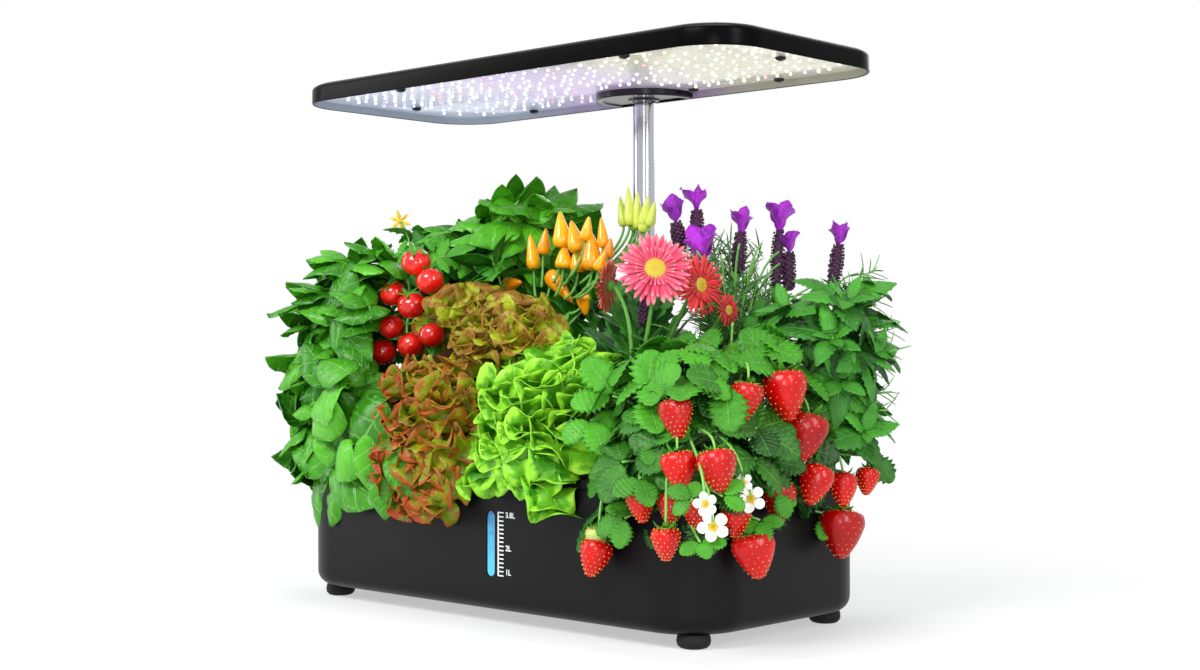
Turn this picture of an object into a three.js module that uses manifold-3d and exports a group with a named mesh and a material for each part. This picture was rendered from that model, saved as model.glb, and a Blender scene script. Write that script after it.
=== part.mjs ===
// Countertop hydroponic garden: a water tank on rubber feet, a grow deck with twelve net baskets,
// a small pump, a control housing, and a lamp head on a telescopic mast.
// Millimetres, +Z up. The origin is on the table, under the middle of the tank.
import * as THREE from 'three';
import { mergeVertices } from 'three/addons/utils/BufferGeometryUtils.js';
import Module from 'manifold-3d';

const wasm = await Module();
wasm.setup();

// Clearances that many pieces share
const seatGap = 0.3; // between two pieces that touch
const slideGap = 0.6; // between two pieces that slide in each other
const overrun = 2; // how far a cutting tool runs past the wall that it cuts

// Tank
const tankWidth = 400;
const tankDepth = 189.5;
const tankCornerRadius = 43;
const tankBottomRadius = 11;
const tankRimRadius = 0.8;
const tankWall = 2.6;
const tankFloor = 2.8;
const tankRimZ = 97;

// Rubber feet
const footHeight = 9.3;
const footRadius = 11;
const footSoleRadius = 8.2;
const footShoulder = 3;
const footInset = 24.6;

// Sight window in the front wall
const windowX = 16.2;
const windowLowZ = 33.1;
const windowHighZ = 77.6;
const windowWidth = 7.4;
const windowRecess = 0.4;
const windowFlange = 3;
const windowFlangeThickness = 1.6;
const gasketThickness = 1.2;

// Grow deck, which closes the tank
const deckEdgeHeight = 7;
const deckEdgeRadius = 4;
const deckPlate = 2.4;
const deckSkirtDepth = 8;
const deckSkirtWall = 1.8;
const collarWall = 1.6;
const collarDepth = 9;

// Net baskets
const basketRimRadius = 20;
const basketRimHeight = 1.8;
const basketTopRadius = 17.2;
const basketFootRadius = 12.4;
const basketDepth = 44;
const basketWall = 1.4;
const basketFloor = 1.6;
const basketDrainRadius = 5;
const slotWidth = 4.2;
const slotTopDepth = 14;
const slotFootHeight = 5;
const slotPairs = 3;

// Where the baskets stand, measured in from the tank's walls
const frontRowInset = 34.75;
const rearRowInset = 40.75;
const middleRowOffset = 1;
const outerColumnInset = 50;
const rearInnerInset = 95;
const rearOuterInset = 40;

// Service bay at the rear, kept free of leaves for the mast, the buttons and the water lid
const bayLeftX = -70;
const bayRightX = 66;
const bayDepth = 47.75;

// Control housing
const housingLeftX = -31;
const housingRightX = 60;
const housingDepth = 43.35;
const housingRearInset = 1.4;
const housingHeight = 21;
const housingCornerRadius = 8;
const housingEdgeRadius = 3;
const housingWall = 2.2;
const postRadius = 2.4;

// Circuit board in the housing
const boardThickness = 1.6;
const boardRise = 7;
const boardDepth = 14;
const boardInset = 2.6;
const switchRadius = 2.6;

// Push buttons
const buttonRadius = 6;
const buttonRise = 1.6;
const buttonTravel = 1.2;
const buttonFlange = 1.4;
const buttonFlangeThickness = 1.4;
const buttonStemRadius = 2.4;
const buttonSpacing = 19;
const firstButtonX = 25;

// Power inlet
const jackX = 38;
const jackRadius = 5.4;
const jackFlange = 1.8;
const jackFlangeThickness = 1.2;
const jackLength = 9;
const jackBoreRadius = 3.2;
const jackBoreDepth = 8;
const jackPinRadius = 1.05;

// Water lid and its port
const portX = -51;
const portInset = 27.75;
const portRadius = 12.5;
const portRimWall = 2.4;
const portRimHeight = 2.2;
const lidRadius = 16.4;
const lidThickness = 2.2;
const lidLipLength = 4;
const lidLipWidth = 10;
const knuckleRadius = 2.3;
const knuckleLength = 10;
const hingePinRadius = 1;
const earThickness = 3;
const hingeReach = 20.2;

// Telescopic mast
const mastInset = 13.25;
const innerTubeRadius = 8.3;
const innerTubeWall = 0.9;
const outerTubeWall = 0.9;
const tubeRunGap = 0.3;
const outerTubeTopZ = 250;
const innerTubeLowZ = 158;
const mastBossWall = 1.6;
const collarHeight = 14;
const collarSleeveWall = 2.6;
const collarLip = 3;

// Lamp head
const lampWidth = 428;
const lampDepth = 185;
const lampCornerRadius = 40;
const lampRearReach = 1.75;
const lampRimZ = 376;
const lampBand = 10;
const lampShoulderRise = 6;
const lampShoulderInset = 15;
const lampWall = 2.4;
const lampRecess = 5.5;
const ledBoardThickness = 1.6;
const lampBossRadius = 3.6;
const screwHeadRadius = 3.9;
const screwHeadHeight = 2.6;
const screwShankRadius = 1.5;
const screwLength = 7;
const hubHalfWidth = 38;
const hubFrontReach = 36;
const hubDrop = 0.2;
const hubBossWall = 3.2;
const hubCap = 4;
const lampScrewShares = [
  { x: 0.42, y: -0.746 },
  { x: 0.818, y: 0.086 },
  { x: 0.489, y: 0.897 },
  { x: 0.051, y: 0.865 },
];

// Pump and its hanger
const pumpInset = 35.75;
const pumpWidth = 34;
const pumpDepth = 30;
const pumpHeight = 28;
const pumpEdgeRadius = 4;
const pumpFloorGap = 6;
const cradleWall = 2;
const cradleDepth = 20;
const cradleTab = 7;
const chamberRadius = 9;
const chamberDepth = 20;
const pumpCoverThickness = 3;
const coverInletRadius = 1.7;
const coverInletRing = 5.2;
const coverInletCount = 6;
const magnetRadius = 6.2;
const magnetLength = 13;
const bladeRadius = 8;
const bladeLength = 5;
const bladeThickness = 1.4;
const bladeCount = 6;
const shaftRadius = 1.1;
const shaftReach = 3;
const shaftGap = 0.15;
const outletRadius = 4;
const outletWall = 1.3;
const outletHeight = 8;
const outletOffsetX = 9;
const leadRadius = 1.7;
const leadOffsetX = 8;
const leadOffsetY = 5;

// Plants: how far the leaves reach, and where each crown ends
const foliageSideReach = 38;
const foliageFrontReach = 25.25;
const foliageClear = 4;
const foliageWallGap = 4;
const plantGap = 1;
const innerCrownHalfWidth = 66;
const middleCrownHalfDepth = 52;
const plugHeight = 27;
const plugRise = 1;
const stemRadius = 6;

// Finishes
const finish = (color, roughness, metalness = 0) => new THREE.MeshStandardMaterial({ color, roughness, metalness });
const charcoal = finish(0x2d2d2d, 0.45);
const blackGloss = finish(0x161616, 0.25);
const blackSatin = finish(0x1d1d1d, 0.5);
const blackRubber = finish(0x141414, 0.85);
const steel = finish(0xc9cbd0, 0.16, 1);
const purpleBlack = finish(0x2c1c33, 0.3);
const silverBoard = finish(0xc9c9d3, 0.25, 0.2);
const greenBoard = finish(0x1f5c33, 0.5);
const blueWindow = finish(0x2a93cf, 0.15);
const greyPlastic = finish(0x6b6f74, 0.5);
const leafGreen = finish(0x4c9a2a, 0.6);
const lettuceGreen = finish(0x7cc52e, 0.6);
const lettuceRed = finish(0x8a4a2b, 0.6);
const herbGreen = finish(0x3f8f3a, 0.6);

// Places and heights that follow from the sizes above
const frontRowY = frontRowInset - tankDepth / 2;
const rearRowY = tankDepth / 2 - rearRowInset;
const middleRowY = (frontRowY + rearRowY) / 2 + middleRowOffset;
const outerColumnX = tankWidth / 2 - outerColumnInset;
const innerColumnX = outerColumnX / 3;
const rearInnerX = tankWidth / 2 - rearInnerInset;
const rearOuterX = tankWidth / 2 - rearOuterInset;
const bayFrontY = tankDepth / 2 - bayDepth;
const portY = tankDepth / 2 - portInset;
const mastY = tankDepth / 2 - mastInset;
const pumpY = tankDepth / 2 - pumpInset;
const lampCentreY = tankDepth / 2 + lampRearReach - lampDepth / 2;
const foliageWidth = tankWidth + 2 * foliageSideReach;
const foliageDepth = tankDepth + 2 * foliageFrontReach;
const deckSeatZ = tankRimZ + seatGap;
const deckTopZ = deckSeatZ + deckEdgeHeight;
const tankFloorZ = footHeight + tankFloor;
const ledBoardZ = lampRimZ + lampRecess;
const lampTopZ = lampRimZ + lampBand + lampShoulderRise;
const lampCeilingZ = lampTopZ - lampWall;
const outerTubeBore = innerTubeRadius + tubeRunGap;
const outerTubeRadius = outerTubeBore + outerTubeWall;
const housingRearY = tankDepth / 2 - housingRearInset;
const housingFrontY = housingRearY - housingDepth;
const housingTopZ = deckTopZ + seatGap + housingHeight;
const pumpLowZ = tankFloorZ + pumpFloorGap;
const leafRoom = lampRimZ - deckTopZ;

// Mesh helpers

const weld = 1e-4;

// Joins shared corners, drops empty triangles and turns the faces outwards.
function closeUp(geometry) {
  const bare = new THREE.BufferGeometry();
  bare.setAttribute('position', geometry.getAttribute('position').clone());
  if (geometry.index) bare.setIndex(geometry.index.clone());
  const merged = mergeVertices(bare, weld);
  const corners = [];
  const place = merged.getAttribute('position');
  const a = new THREE.Vector3();
  const b = new THREE.Vector3();
  const c = new THREE.Vector3();
  let volume = 0;
  for (let i = 0; i < merged.index.count; i += 3) {
    const [p, q, r] = [0, 1, 2].map((step) => merged.index.getX(i + step));
    if (p === q || q === r || r === p) continue;
    corners.push(p, q, r);
    a.fromBufferAttribute(place, p);
    b.fromBufferAttribute(place, q);
    c.fromBufferAttribute(place, r);
    volume += a.dot(b.cross(c));
  }
  if (volume < 0) corners.reverse();
  merged.setIndex(corners);
  return merged;
}

function toSolid(geometry) {
  const closed = closeUp(geometry);
  const vertProperties = new Float32Array(closed.getAttribute('position').array);
  const triVerts = new Uint32Array(closed.index.array);
  return new wasm.Manifold(new wasm.Mesh({ numProp: 3, vertProperties, triVerts }));
}

function toGeometry(solid) {
  const mesh = solid.getMesh();
  const geometry = new THREE.BufferGeometry();
  geometry.setAttribute('position', new THREE.BufferAttribute(new Float32Array(mesh.vertProperties), 3));
  geometry.setIndex(Array.from(mesh.triVerts));
  return geometry;
}

// One ring of a rounded rectangle at a height, as points in order.
function roundedRing(width, depth, radius, z, steps = 6) {
  const ring = [];
  const turns = [[1, 1], [-1, 1], [-1, -1], [1, -1]];
  turns.forEach(([sideX, sideY], corner) => {
    for (let step = 0; step <= steps; step += 1) {
      const angle = (corner + step / steps) * Math.PI / 2;
      const x = sideX * (width / 2 - radius) + radius * Math.cos(angle);
      const y = sideY * (depth / 2 - radius) + radius * Math.sin(angle);
      ring.push([x, y, z]);
    }
  });
  return ring;
}

// A skin through rings of the same count, closed by a flat cap at the first and the last ring.
function loft(rings) {
  const count = rings[0].length;
  const index = [];
  for (let level = 0; level < rings.length - 1; level += 1) {
    for (let i = 0; i < count; i += 1) {
      const next = (i + 1) % count;
      const low = level * count;
      const high = low + count;
      index.push(low + i, low + next, high + next, low + i, high + next, high + i);
    }
  }
  const last = (rings.length - 1) * count;
  for (let i = 1; i < count - 1; i += 1) {
    index.push(0, i + 1, i, last, last + i, last + i + 1);
  }
  const geometry = new THREE.BufferGeometry();
  geometry.setAttribute('position', new THREE.Float32BufferAttribute(rings.flat(2), 3));
  geometry.setIndex(index);
  return geometry;
}

// A turned piece about Z, from a closed profile of [radius, height] points.
function turned(profile, sides = 24) {
  const points = profile.map(([radius, height]) => new THREE.Vector2(radius, height));
  const geometry = new THREE.LatheGeometry(points, sides);
  geometry.rotateX(Math.PI / 2);
  return closeUp(geometry);
}

function rod(radius, lowZ, highZ, x = 0, y = 0, sides = 20) {
  const geometry = new THREE.CylinderGeometry(radius, radius, highZ - lowZ, sides);
  geometry.rotateX(Math.PI / 2);
  geometry.translate(x, y, (lowZ + highZ) / 2);
  return geometry;
}

function tube(outerRadius, innerRadius, lowZ, highZ, sides = 20) {
  return turned([
    [innerRadius, lowZ],
    [outerRadius, lowZ],
    [outerRadius, highZ],
    [innerRadius, highZ],
    [innerRadius, lowZ],
  ], sides);
}

function block(lowX, highX, lowY, highY, lowZ, highZ) {
  const geometry = new THREE.BoxGeometry(highX - lowX, highY - lowY, highZ - lowZ);
  geometry.translate((lowX + highX) / 2, (lowY + highY) / 2, (lowZ + highZ) / 2);
  return geometry;
}

function prism(outline, lowZ, highZ) {
  const shape = new THREE.Shape(outline.map(([x, y]) => new THREE.Vector2(x, y)));
  const geometry = new THREE.ExtrudeGeometry(shape, { depth: highZ - lowZ, bevelEnabled: false });
  geometry.translate(0, 0, lowZ);
  return geometry;
}

function piece(name, geometry, material) {
  const mesh = new THREE.Mesh(closeUp(geometry), material);
  mesh.name = name;
  return mesh;
}

function cut(base, ...tools) {
  return toGeometry(tools.reduce((solid, tool) => solid.subtract(toSolid(tool)), toSolid(base)));
}

function join(base, ...others) {
  return toGeometry(others.reduce((solid, other) => solid.add(toSolid(other)), toSolid(base)));
}

// Tank: an open tub with a rounded foot edge, and a slot for the sight window

// A bar with round ends, standing on its end in the front wall.
function windowBar(grow, nearY, farY) {
  const radius = windowWidth / 2 + grow;
  const lowZ = windowLowZ + windowWidth / 2;
  const highZ = windowHighZ - windowWidth / 2;
  const shape = new THREE.Shape();
  shape.absarc(0, highZ, radius, 0, Math.PI, false);
  shape.absarc(0, lowZ, radius, Math.PI, 2 * Math.PI, false);
  const geometry = new THREE.ExtrudeGeometry(shape, { depth: farY - nearY, bevelEnabled: false, curveSegments: 5 });
  geometry.rotateX(Math.PI / 2);
  geometry.translate(windowX, farY, 0);
  return geometry;
}

function reservoirGeometry() {
  const outer = (inset, z) => roundedRing(
    tankWidth - 2 * inset,
    tankDepth - 2 * inset,
    tankCornerRadius - inset,
    z,
  );
  const filletSteps = 3;
  const fillet = (radius, lowZ, wall) => Array.from({ length: filletSteps + 1 }, (_, step) => {
    const angle = (step / filletSteps) * Math.PI / 2;
    return outer(wall + radius * (1 - Math.sin(angle)), lowZ + radius * (1 - Math.cos(angle)));
  });
  const rings = [
    ...fillet(tankBottomRadius, footHeight, 0),
    outer(0, tankRimZ - tankRimRadius),
    outer(tankRimRadius, tankRimZ),
    outer(tankWall, tankRimZ),
    ...fillet(tankBottomRadius - tankWall, tankFloorZ, tankWall).reverse(),
  ];
  const frontY = -tankDepth / 2;
  return cut(loft(rings), windowBar(seatGap, frontY - overrun, frontY + tankWall + overrun));
}

function tankGroup() {
  const group = new THREE.Group();
  const frontY = -tankDepth / 2;
  const innerY = frontY + tankWall;
  group.add(piece('reservoir', reservoirGeometry(), charcoal));

  const gasketY = innerY + seatGap;
  const flangeY = gasketY + gasketThickness + seatGap;
  const lens = join(
    windowBar(0, frontY + windowRecess, flangeY + windowFlangeThickness),
    windowBar(windowFlange, flangeY, flangeY + windowFlangeThickness),
  );
  const gasket = cut(
    windowBar(windowFlange, gasketY, gasketY + gasketThickness),
    windowBar(seatGap, gasketY - overrun, flangeY),
  );
  group.add(piece('sight_window', lens, blueWindow));
  group.add(piece('window_gasket', gasket, blackRubber));

  const footTop = footHeight - seatGap;
  const foot = turned([
    [0, 0],
    [footSoleRadius, 0],
    [(footSoleRadius + footRadius) / 2, footShoulder / 2],
    [footRadius, footTop - footShoulder],
    [footRadius, footTop],
    [0, footTop],
  ], 16);
  const footX = tankWidth / 2 - footInset;
  const footY = tankDepth / 2 - footInset;
  const feet = [
    ['foot_front_left', -footX, -footY],
    ['foot_front_right', footX, -footY],
    ['foot_rear_left', -footX, footY],
    ['foot_rear_right', footX, footY],
  ];
  feet.forEach(([name, x, y]) => {
    const mesh = piece(name, foot, blackRubber);
    mesh.position.set(x, y, 0);
    group.add(mesh);
  });
  return group;
}

// Baskets and plants: where each one stands, and how far its crown rises, hangs and leans.
// riseShare is a share of the room under the lamp, hangShare of the deck's height over the table,
// and the leans are shares of the spacing of the columns. Without a hangShare the crown stays above the deck.
const podShares = [
  { plant: 'basil_plant_front', isTiered: true, x: -outerColumnX, y: frontRowY, riseShare: 0.58, hangShare: 0.479, color: leafGreen },
  { plant: 'red_lettuce_plant', x: -innerColumnX, y: frontRowY, riseShare: 0.463, hangShare: 0.594, color: lettuceRed },
  { plant: 'green_lettuce_plant', x: innerColumnX, y: frontRowY, riseShare: 0.315, hangShare: 0.537, color: lettuceGreen },
  { plant: 'strawberry_plant_front', x: outerColumnX, y: frontRowY, riseShare: 0.345, hangShare: 0.288, color: leafGreen },
  { plant: 'tomato_plant', isTiered: true, x: -outerColumnX, y: middleRowY, riseShare: 0.661, color: leafGreen },
  { plant: 'pepper_plant', x: -innerColumnX, y: middleRowY, leanXShare: 0.14, leanYShare: 0.08, riseShare: 0.728, color: herbGreen },
  { plant: 'gerbera_plant', x: innerColumnX, y: middleRowY, leanXShare: 0.14, riseShare: 0.566, color: herbGreen },
  { plant: 'strawberry_plant_side', x: outerColumnX, y: middleRowY, riseShare: 0.396, hangShare: 0.384, color: leafGreen },
  { plant: 'basil_plant_corner', isTiered: true, x: -rearOuterX, y: rearRowY, riseShare: 0.691, color: leafGreen },
  { plant: 'basil_plant_rear', isTiered: true, x: -rearInnerX, y: rearRowY, riseShare: 0.742, color: leafGreen },
  { plant: 'lavender_plant', x: rearInnerX, y: rearRowY, riseShare: 0.713, color: herbGreen },
  { plant: 'mint_plant', isTiered: true, x: rearOuterX, y: rearRowY, riseShare: 0.58, color: herbGreen },
];
const columnSpacing = outerColumnX - innerColumnX;
const pods = podShares.map(({ riseShare, hangShare, leanXShare = 0, leanYShare = 0, ...pod }) => ({
  ...pod,
  leanX: leanXShare * columnSpacing,
  leanY: leanYShare * columnSpacing,
  topZ: deckTopZ + riseShare * leafRoom,
  hangZ: hangShare && hangShare * deckTopZ,
}));

// The slots lie in the middle of every other side of a basket, and the deck's holes have the same sides.
const basketSides = 4 * slotPairs;

// Grow deck: a shallow upturned tray, with a collar under each hole and a skirt that drops into the tank

function deckGeometry() {
  const step = (inset, z) => roundedRing(
    tankWidth - 2 * inset,
    tankDepth - 2 * inset,
    tankCornerRadius - inset,
    z,
  );
  const skirtInset = tankWall + slideGap;
  const pocketInset = skirtInset + deckSkirtWall;
  const plateZ = deckTopZ - deckPlate;
  const skirtZ = deckSeatZ - deckSkirtDepth;
  const edgeSteps = 3;
  const edge = Array.from({ length: edgeSteps + 1 }, (_, i) => {
    const angle = (i / edgeSteps) * Math.PI / 2;
    return step(deckEdgeRadius * (1 - Math.cos(angle)), deckTopZ - deckEdgeRadius * (1 - Math.sin(angle)));
  });
  const plate = loft([
    step(pocketInset, plateZ),
    step(pocketInset, skirtZ),
    step(skirtInset, skirtZ),
    step(skirtInset, deckSeatZ),
    step(0, deckSeatZ),
    ...edge,
  ]);

  const holeRadius = basketTopRadius + slideGap;
  const collarLowZ = deckTopZ - collarDepth;
  const collarRadius = holeRadius + collarWall;
  const collarTopZ = plateZ + deckPlate / 2;
  const collars = pods.map((pod) => rod(collarRadius, collarLowZ, collarTopZ, pod.x, pod.y, basketSides));
  const portRim = rod(portRadius + portRimWall, collarLowZ, deckTopZ + portRimHeight, portX, portY);
  const holes = pods.map((pod) => rod(holeRadius, collarLowZ - overrun, deckTopZ + overrun, pod.x, pod.y, basketSides));
  const portHole = rod(portRadius, collarLowZ - overrun, deckTopZ + portRimHeight + overrun, portX, portY);
  const leadHole = rod(leadRadius + seatGap, collarLowZ, deckTopZ + overrun, leadOffsetX, pumpY + leadOffsetY, 8);

  // Two ears behind the port carry the pin of the water lid.
  const pinZ = deckTopZ + portRimHeight + lidThickness / 2 + seatGap;
  const pinY = portY + hingeReach;
  const earInner = knuckleLength / 2 + seatGap;
  const ears = [-1, 1].map((side) => {
    const nearX = portX + side * earInner;
    const farX = nearX + side * earThickness;
    return block(
      Math.min(nearX, farX),
      Math.max(nearX, farX),
      pinY - knuckleRadius,
      pinY + knuckleRadius,
      plateZ + deckPlate / 2,
      pinZ + knuckleRadius,
    );
  });
  const pinHole = rod(hingePinRadius + seatGap, -earInner - earThickness - overrun, earInner + earThickness + overrun, 0, 0, 12);
  pinHole.rotateY(Math.PI / 2);
  pinHole.translate(portX, pinY, pinZ);
  return cut(join(plate, ...collars, portRim, ...ears), ...holes, portHole, leadHole, pinHole);
}

// Net basket: a tapered cup under a flat rim, with tall slots and a drain hole. Its rim sits at z = 0.
function basketGeometry() {
  const rimLow = seatGap;
  const rimTop = rimLow + basketRimHeight;
  const innerFootRadius = basketFootRadius - basketWall;
  const cup = turned([
    [0, -basketDepth],
    [basketFootRadius, -basketDepth],
    [basketTopRadius, rimLow],
    [basketRimRadius, rimLow],
    [basketRimRadius, rimTop],
    [basketTopRadius - basketWall, rimTop],
    [innerFootRadius, basketFloor - basketDepth],
    [0, basketFloor - basketDepth],
  ], basketSides);
  const slots = Array.from({ length: slotPairs }, (_, pair) => {
    const slot = block(
      -basketTopRadius - overrun,
      basketTopRadius + overrun,
      -slotWidth / 2,
      slotWidth / 2,
      slotFootHeight - basketDepth,
      -slotTopDepth,
    );
    return slot.rotateZ((pair + 1 / 4) * Math.PI / slotPairs);
  });
  const drain = rod(basketDrainRadius, -basketDepth - overrun, basketFloor - basketDepth + overrun, 0, 0, 2 * slotPairs);
  return cut(cup, ...slots, drain);
}

// Plants

// Keeps the part of a convex outline that lies behind a line through a point.
function clipOutline(outline, [atX, atY], [normalX, normalY]) {
  const side = ([x, y]) => (x - atX) * normalX + (y - atY) * normalY;
  const kept = [];
  outline.forEach((point, i) => {
    const next = outline[(i + 1) % outline.length];
    const here = side(point);
    const there = side(next);
    if (here <= 0) kept.push(point);
    if (here * there < 0) {
      const share = here / (here - there);
      kept.push([point[0] + share * (next[0] - point[0]), point[1] + share * (next[1] - point[1])]);
    }
  });
  return kept;
}

// The ground plan that one crown may fill: halfway to each neighbour, and clear of the service bay.
function crownCell(pod) {
  const halfWidth = foliageWidth / 2;
  const halfDepth = foliageDepth / 2;
  const centreX = pod.x + pod.leanX;
  const centreY = pod.y + pod.leanY;
  let outline = [[-halfWidth, -halfDepth], [halfWidth, -halfDepth], [halfWidth, halfDepth], [-halfWidth, halfDepth]];
  pods.forEach((other) => {
    if (other === pod) return;
    const acrossX = other.x + other.leanX - centreX;
    const acrossY = other.y + other.leanY - centreY;
    const distance = Math.hypot(acrossX, acrossY);
    const reach = (distance - plantGap) / 2 / distance;
    outline = clipOutline(outline, [centreX + acrossX * reach, centreY + acrossY * reach], [acrossX, acrossY]);
  });
  if (pod.x < bayLeftX) return clipOutline(outline, [bayLeftX, bayFrontY], [1, 0]);
  if (pod.x > bayRightX) return clipOutline(outline, [bayRightX, bayFrontY], [-1, 0]);
  return clipOutline(outline, [bayLeftX, bayFrontY], [0, 1]);
}

// Crown profiles, from the lowest ring to the top one, as shares of the crown's half width and of its height.
// Herbs stand in tiers of leaves, which swell one above the other.
const bushShares = [[0.45, 0], [0.9, 0.2], [1, 0.5], [0.8, 0.82], [0.3, 1]];
const moundShares = [[0.72, 0], [0.96, 0.18], [1, 0.5], [0.78, 0.84], [0.3, 1]];
const tierShares = [[0.45, 0], [0.9, 0.15], [0.78, 0.32], [1, 0.5], [0.82, 0.66], [0.84, 0.82], [0.3, 1]];
const hangingTierShares = [[0.72, 0], [0.94, 0.14], [0.86, 0.3], [1, 0.48], [0.86, 0.64], [0.88, 0.8], [0.3, 1]];
const leafClusters = 4;
const clusterDepthShare = 0.13;
const crownSides = 3 * leafClusters;

// A crown of unit size: its rings swell at each leaf cluster, and those of the next ring lie between them.
function crownGeometry(shares) {
  const widest = shares.findIndex(([radius]) => radius === 1);
  const rings = shares.map(([radius, height], level) => {
    const isEnd = level === 0 || level === shares.length - 1;
    return Array.from({ length: crownSides }, (_, i) => {
      const angle = (i / crownSides) * 2 * Math.PI;
      const wave = (1 - Math.cos(leafClusters * angle + (level - widest) * Math.PI)) / 2;
      const reach = isEnd ? radius : radius * (1 - clusterDepthShare * wave);
      return [reach * Math.cos(angle), reach * Math.sin(angle), height];
    });
  });
  return loft(rings);
}

function plantGeometry(pod) {
  const hangs = pod.hangZ !== undefined;
  const lowZ = hangs ? pod.hangZ : deckTopZ + foliageClear;
  const centreX = pod.x + pod.leanX;
  const centreY = pod.y + pod.leanY;
  const isInner = Math.abs(pod.x) <= innerColumnX;
  const halfWidth = isInner ? innerCrownHalfWidth : foliageWidth / 2 - Math.abs(centreX);
  const halfDepth = pod.y === middleRowY ? middleCrownHalfDepth : foliageDepth / 2 - Math.abs(centreY);
  const uprightShares = pod.isTiered ? tierShares : bushShares;
  const hangingShares = pod.isTiered ? hangingTierShares : moundShares;
  const crown = crownGeometry(hangs ? hangingShares : uprightShares);
  crown.scale(halfWidth, halfDepth, pod.topZ - lowZ);
  crown.translate(centreX, centreY, lowZ);

  const wallX = tankWidth / 2 + foliageWallGap;
  const wallY = tankDepth / 2 + foliageWallGap;
  const envelope = block(-wallX, wallX, -wallY, wallY, 0, deckTopZ + foliageClear);
  const cell = prism(crownCell(pod), 0, pod.topZ + overrun);
  const leaves = toSolid(crown).intersect(toSolid(cell)).subtract(toSolid(envelope));

  const innerRadiusAt = (depth) => {
    const taper = (basketTopRadius - basketFootRadius) / basketDepth;
    return basketTopRadius - basketWall - taper * depth - slideGap;
  };
  const plug = turned([
    [0, plugRise - plugHeight],
    [innerRadiusAt(plugHeight - plugRise), plugRise - plugHeight],
    [innerRadiusAt(0), plugRise],
    [0, plugRise],
  ], basketSides);
  plug.translate(pod.x, pod.y, deckTopZ);
  const stem = rod(stemRadius, deckTopZ, deckTopZ + foliageClear + overrun, pod.x, pod.y, 10);
  const plant = leaves.add(toSolid(plug)).add(toSolid(stem));
  return toGeometry(plant).translate(-pod.x, -pod.y, -deckTopZ);
}

function podGroups() {
  const basket = basketGeometry();
  return pods.map((pod, i) => {
    const group = new THREE.Group();
    const number = String(i + 1).padStart(2, '0');
    group.add(piece(`net_basket_${number}`, basket, blackSatin));
    group.add(piece(pod.plant, plantGeometry(pod), pod.color));
    group.position.set(pod.x, pod.y, deckTopZ);
    return group;
  });
}

// Water lid: a round flap with a finger lip in front and a hinge knuckle behind

function lidGroup() {
  const group = new THREE.Group();
  const disc = rod(lidRadius, -lidThickness / 2, lidThickness / 2);
  const lip = block(
    -lidLipWidth / 2,
    lidLipWidth / 2,
    -lidRadius - lidLipLength,
    -lidRadius + overrun,
    -lidThickness / 2,
    lidThickness / 2,
  );
  const bridge = block(
    -knuckleLength / 2,
    knuckleLength / 2,
    0,
    hingeReach,
    -lidThickness / 2,
    lidThickness / 2,
  );
  const along = (radius, length) => {
    const bar = rod(radius, -length / 2, length / 2, 0, 0, 12);
    bar.rotateY(Math.PI / 2);
    return bar.translate(0, hingeReach, 0);
  };
  const knuckle = along(knuckleRadius, knuckleLength);
  const bore = along(hingePinRadius + seatGap, knuckleLength + overrun);
  const plugDisc = tube(portRadius - slideGap, portRadius - slideGap - lidThickness, -lidThickness * 2, 0, 20);
  group.add(piece('water_lid', cut(join(disc, lip, bridge, knuckle, plugDisc), bore), blackSatin));
  const pinLength = knuckleLength + 2 * (seatGap + earThickness);
  group.add(piece('lid_hinge_pin', along(hingePinRadius, pinLength), steel));
  group.position.set(portX, portY, deckTopZ + portRimHeight + seatGap + lidThickness / 2);
  return group;
}

// Control housing: an upturned tray with a sleeve for the mast, two buttons, a board and the inlet

function roundedBox(width, depth, radius, lowZ, highZ, edge) {
  const edgeSteps = 2;
  const rings = [roundedRing(width, depth, radius, lowZ, 3)];
  for (let i = 0; i <= edgeSteps; i += 1) {
    const angle = (i / edgeSteps) * Math.PI / 2;
    const inset = edge * (1 - Math.cos(angle));
    const z = highZ - edge * (1 - Math.sin(angle));
    rings.push(roundedRing(width - 2 * inset, depth - 2 * inset, radius - inset, z, 3));
  }
  return loft(rings);
}

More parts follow.
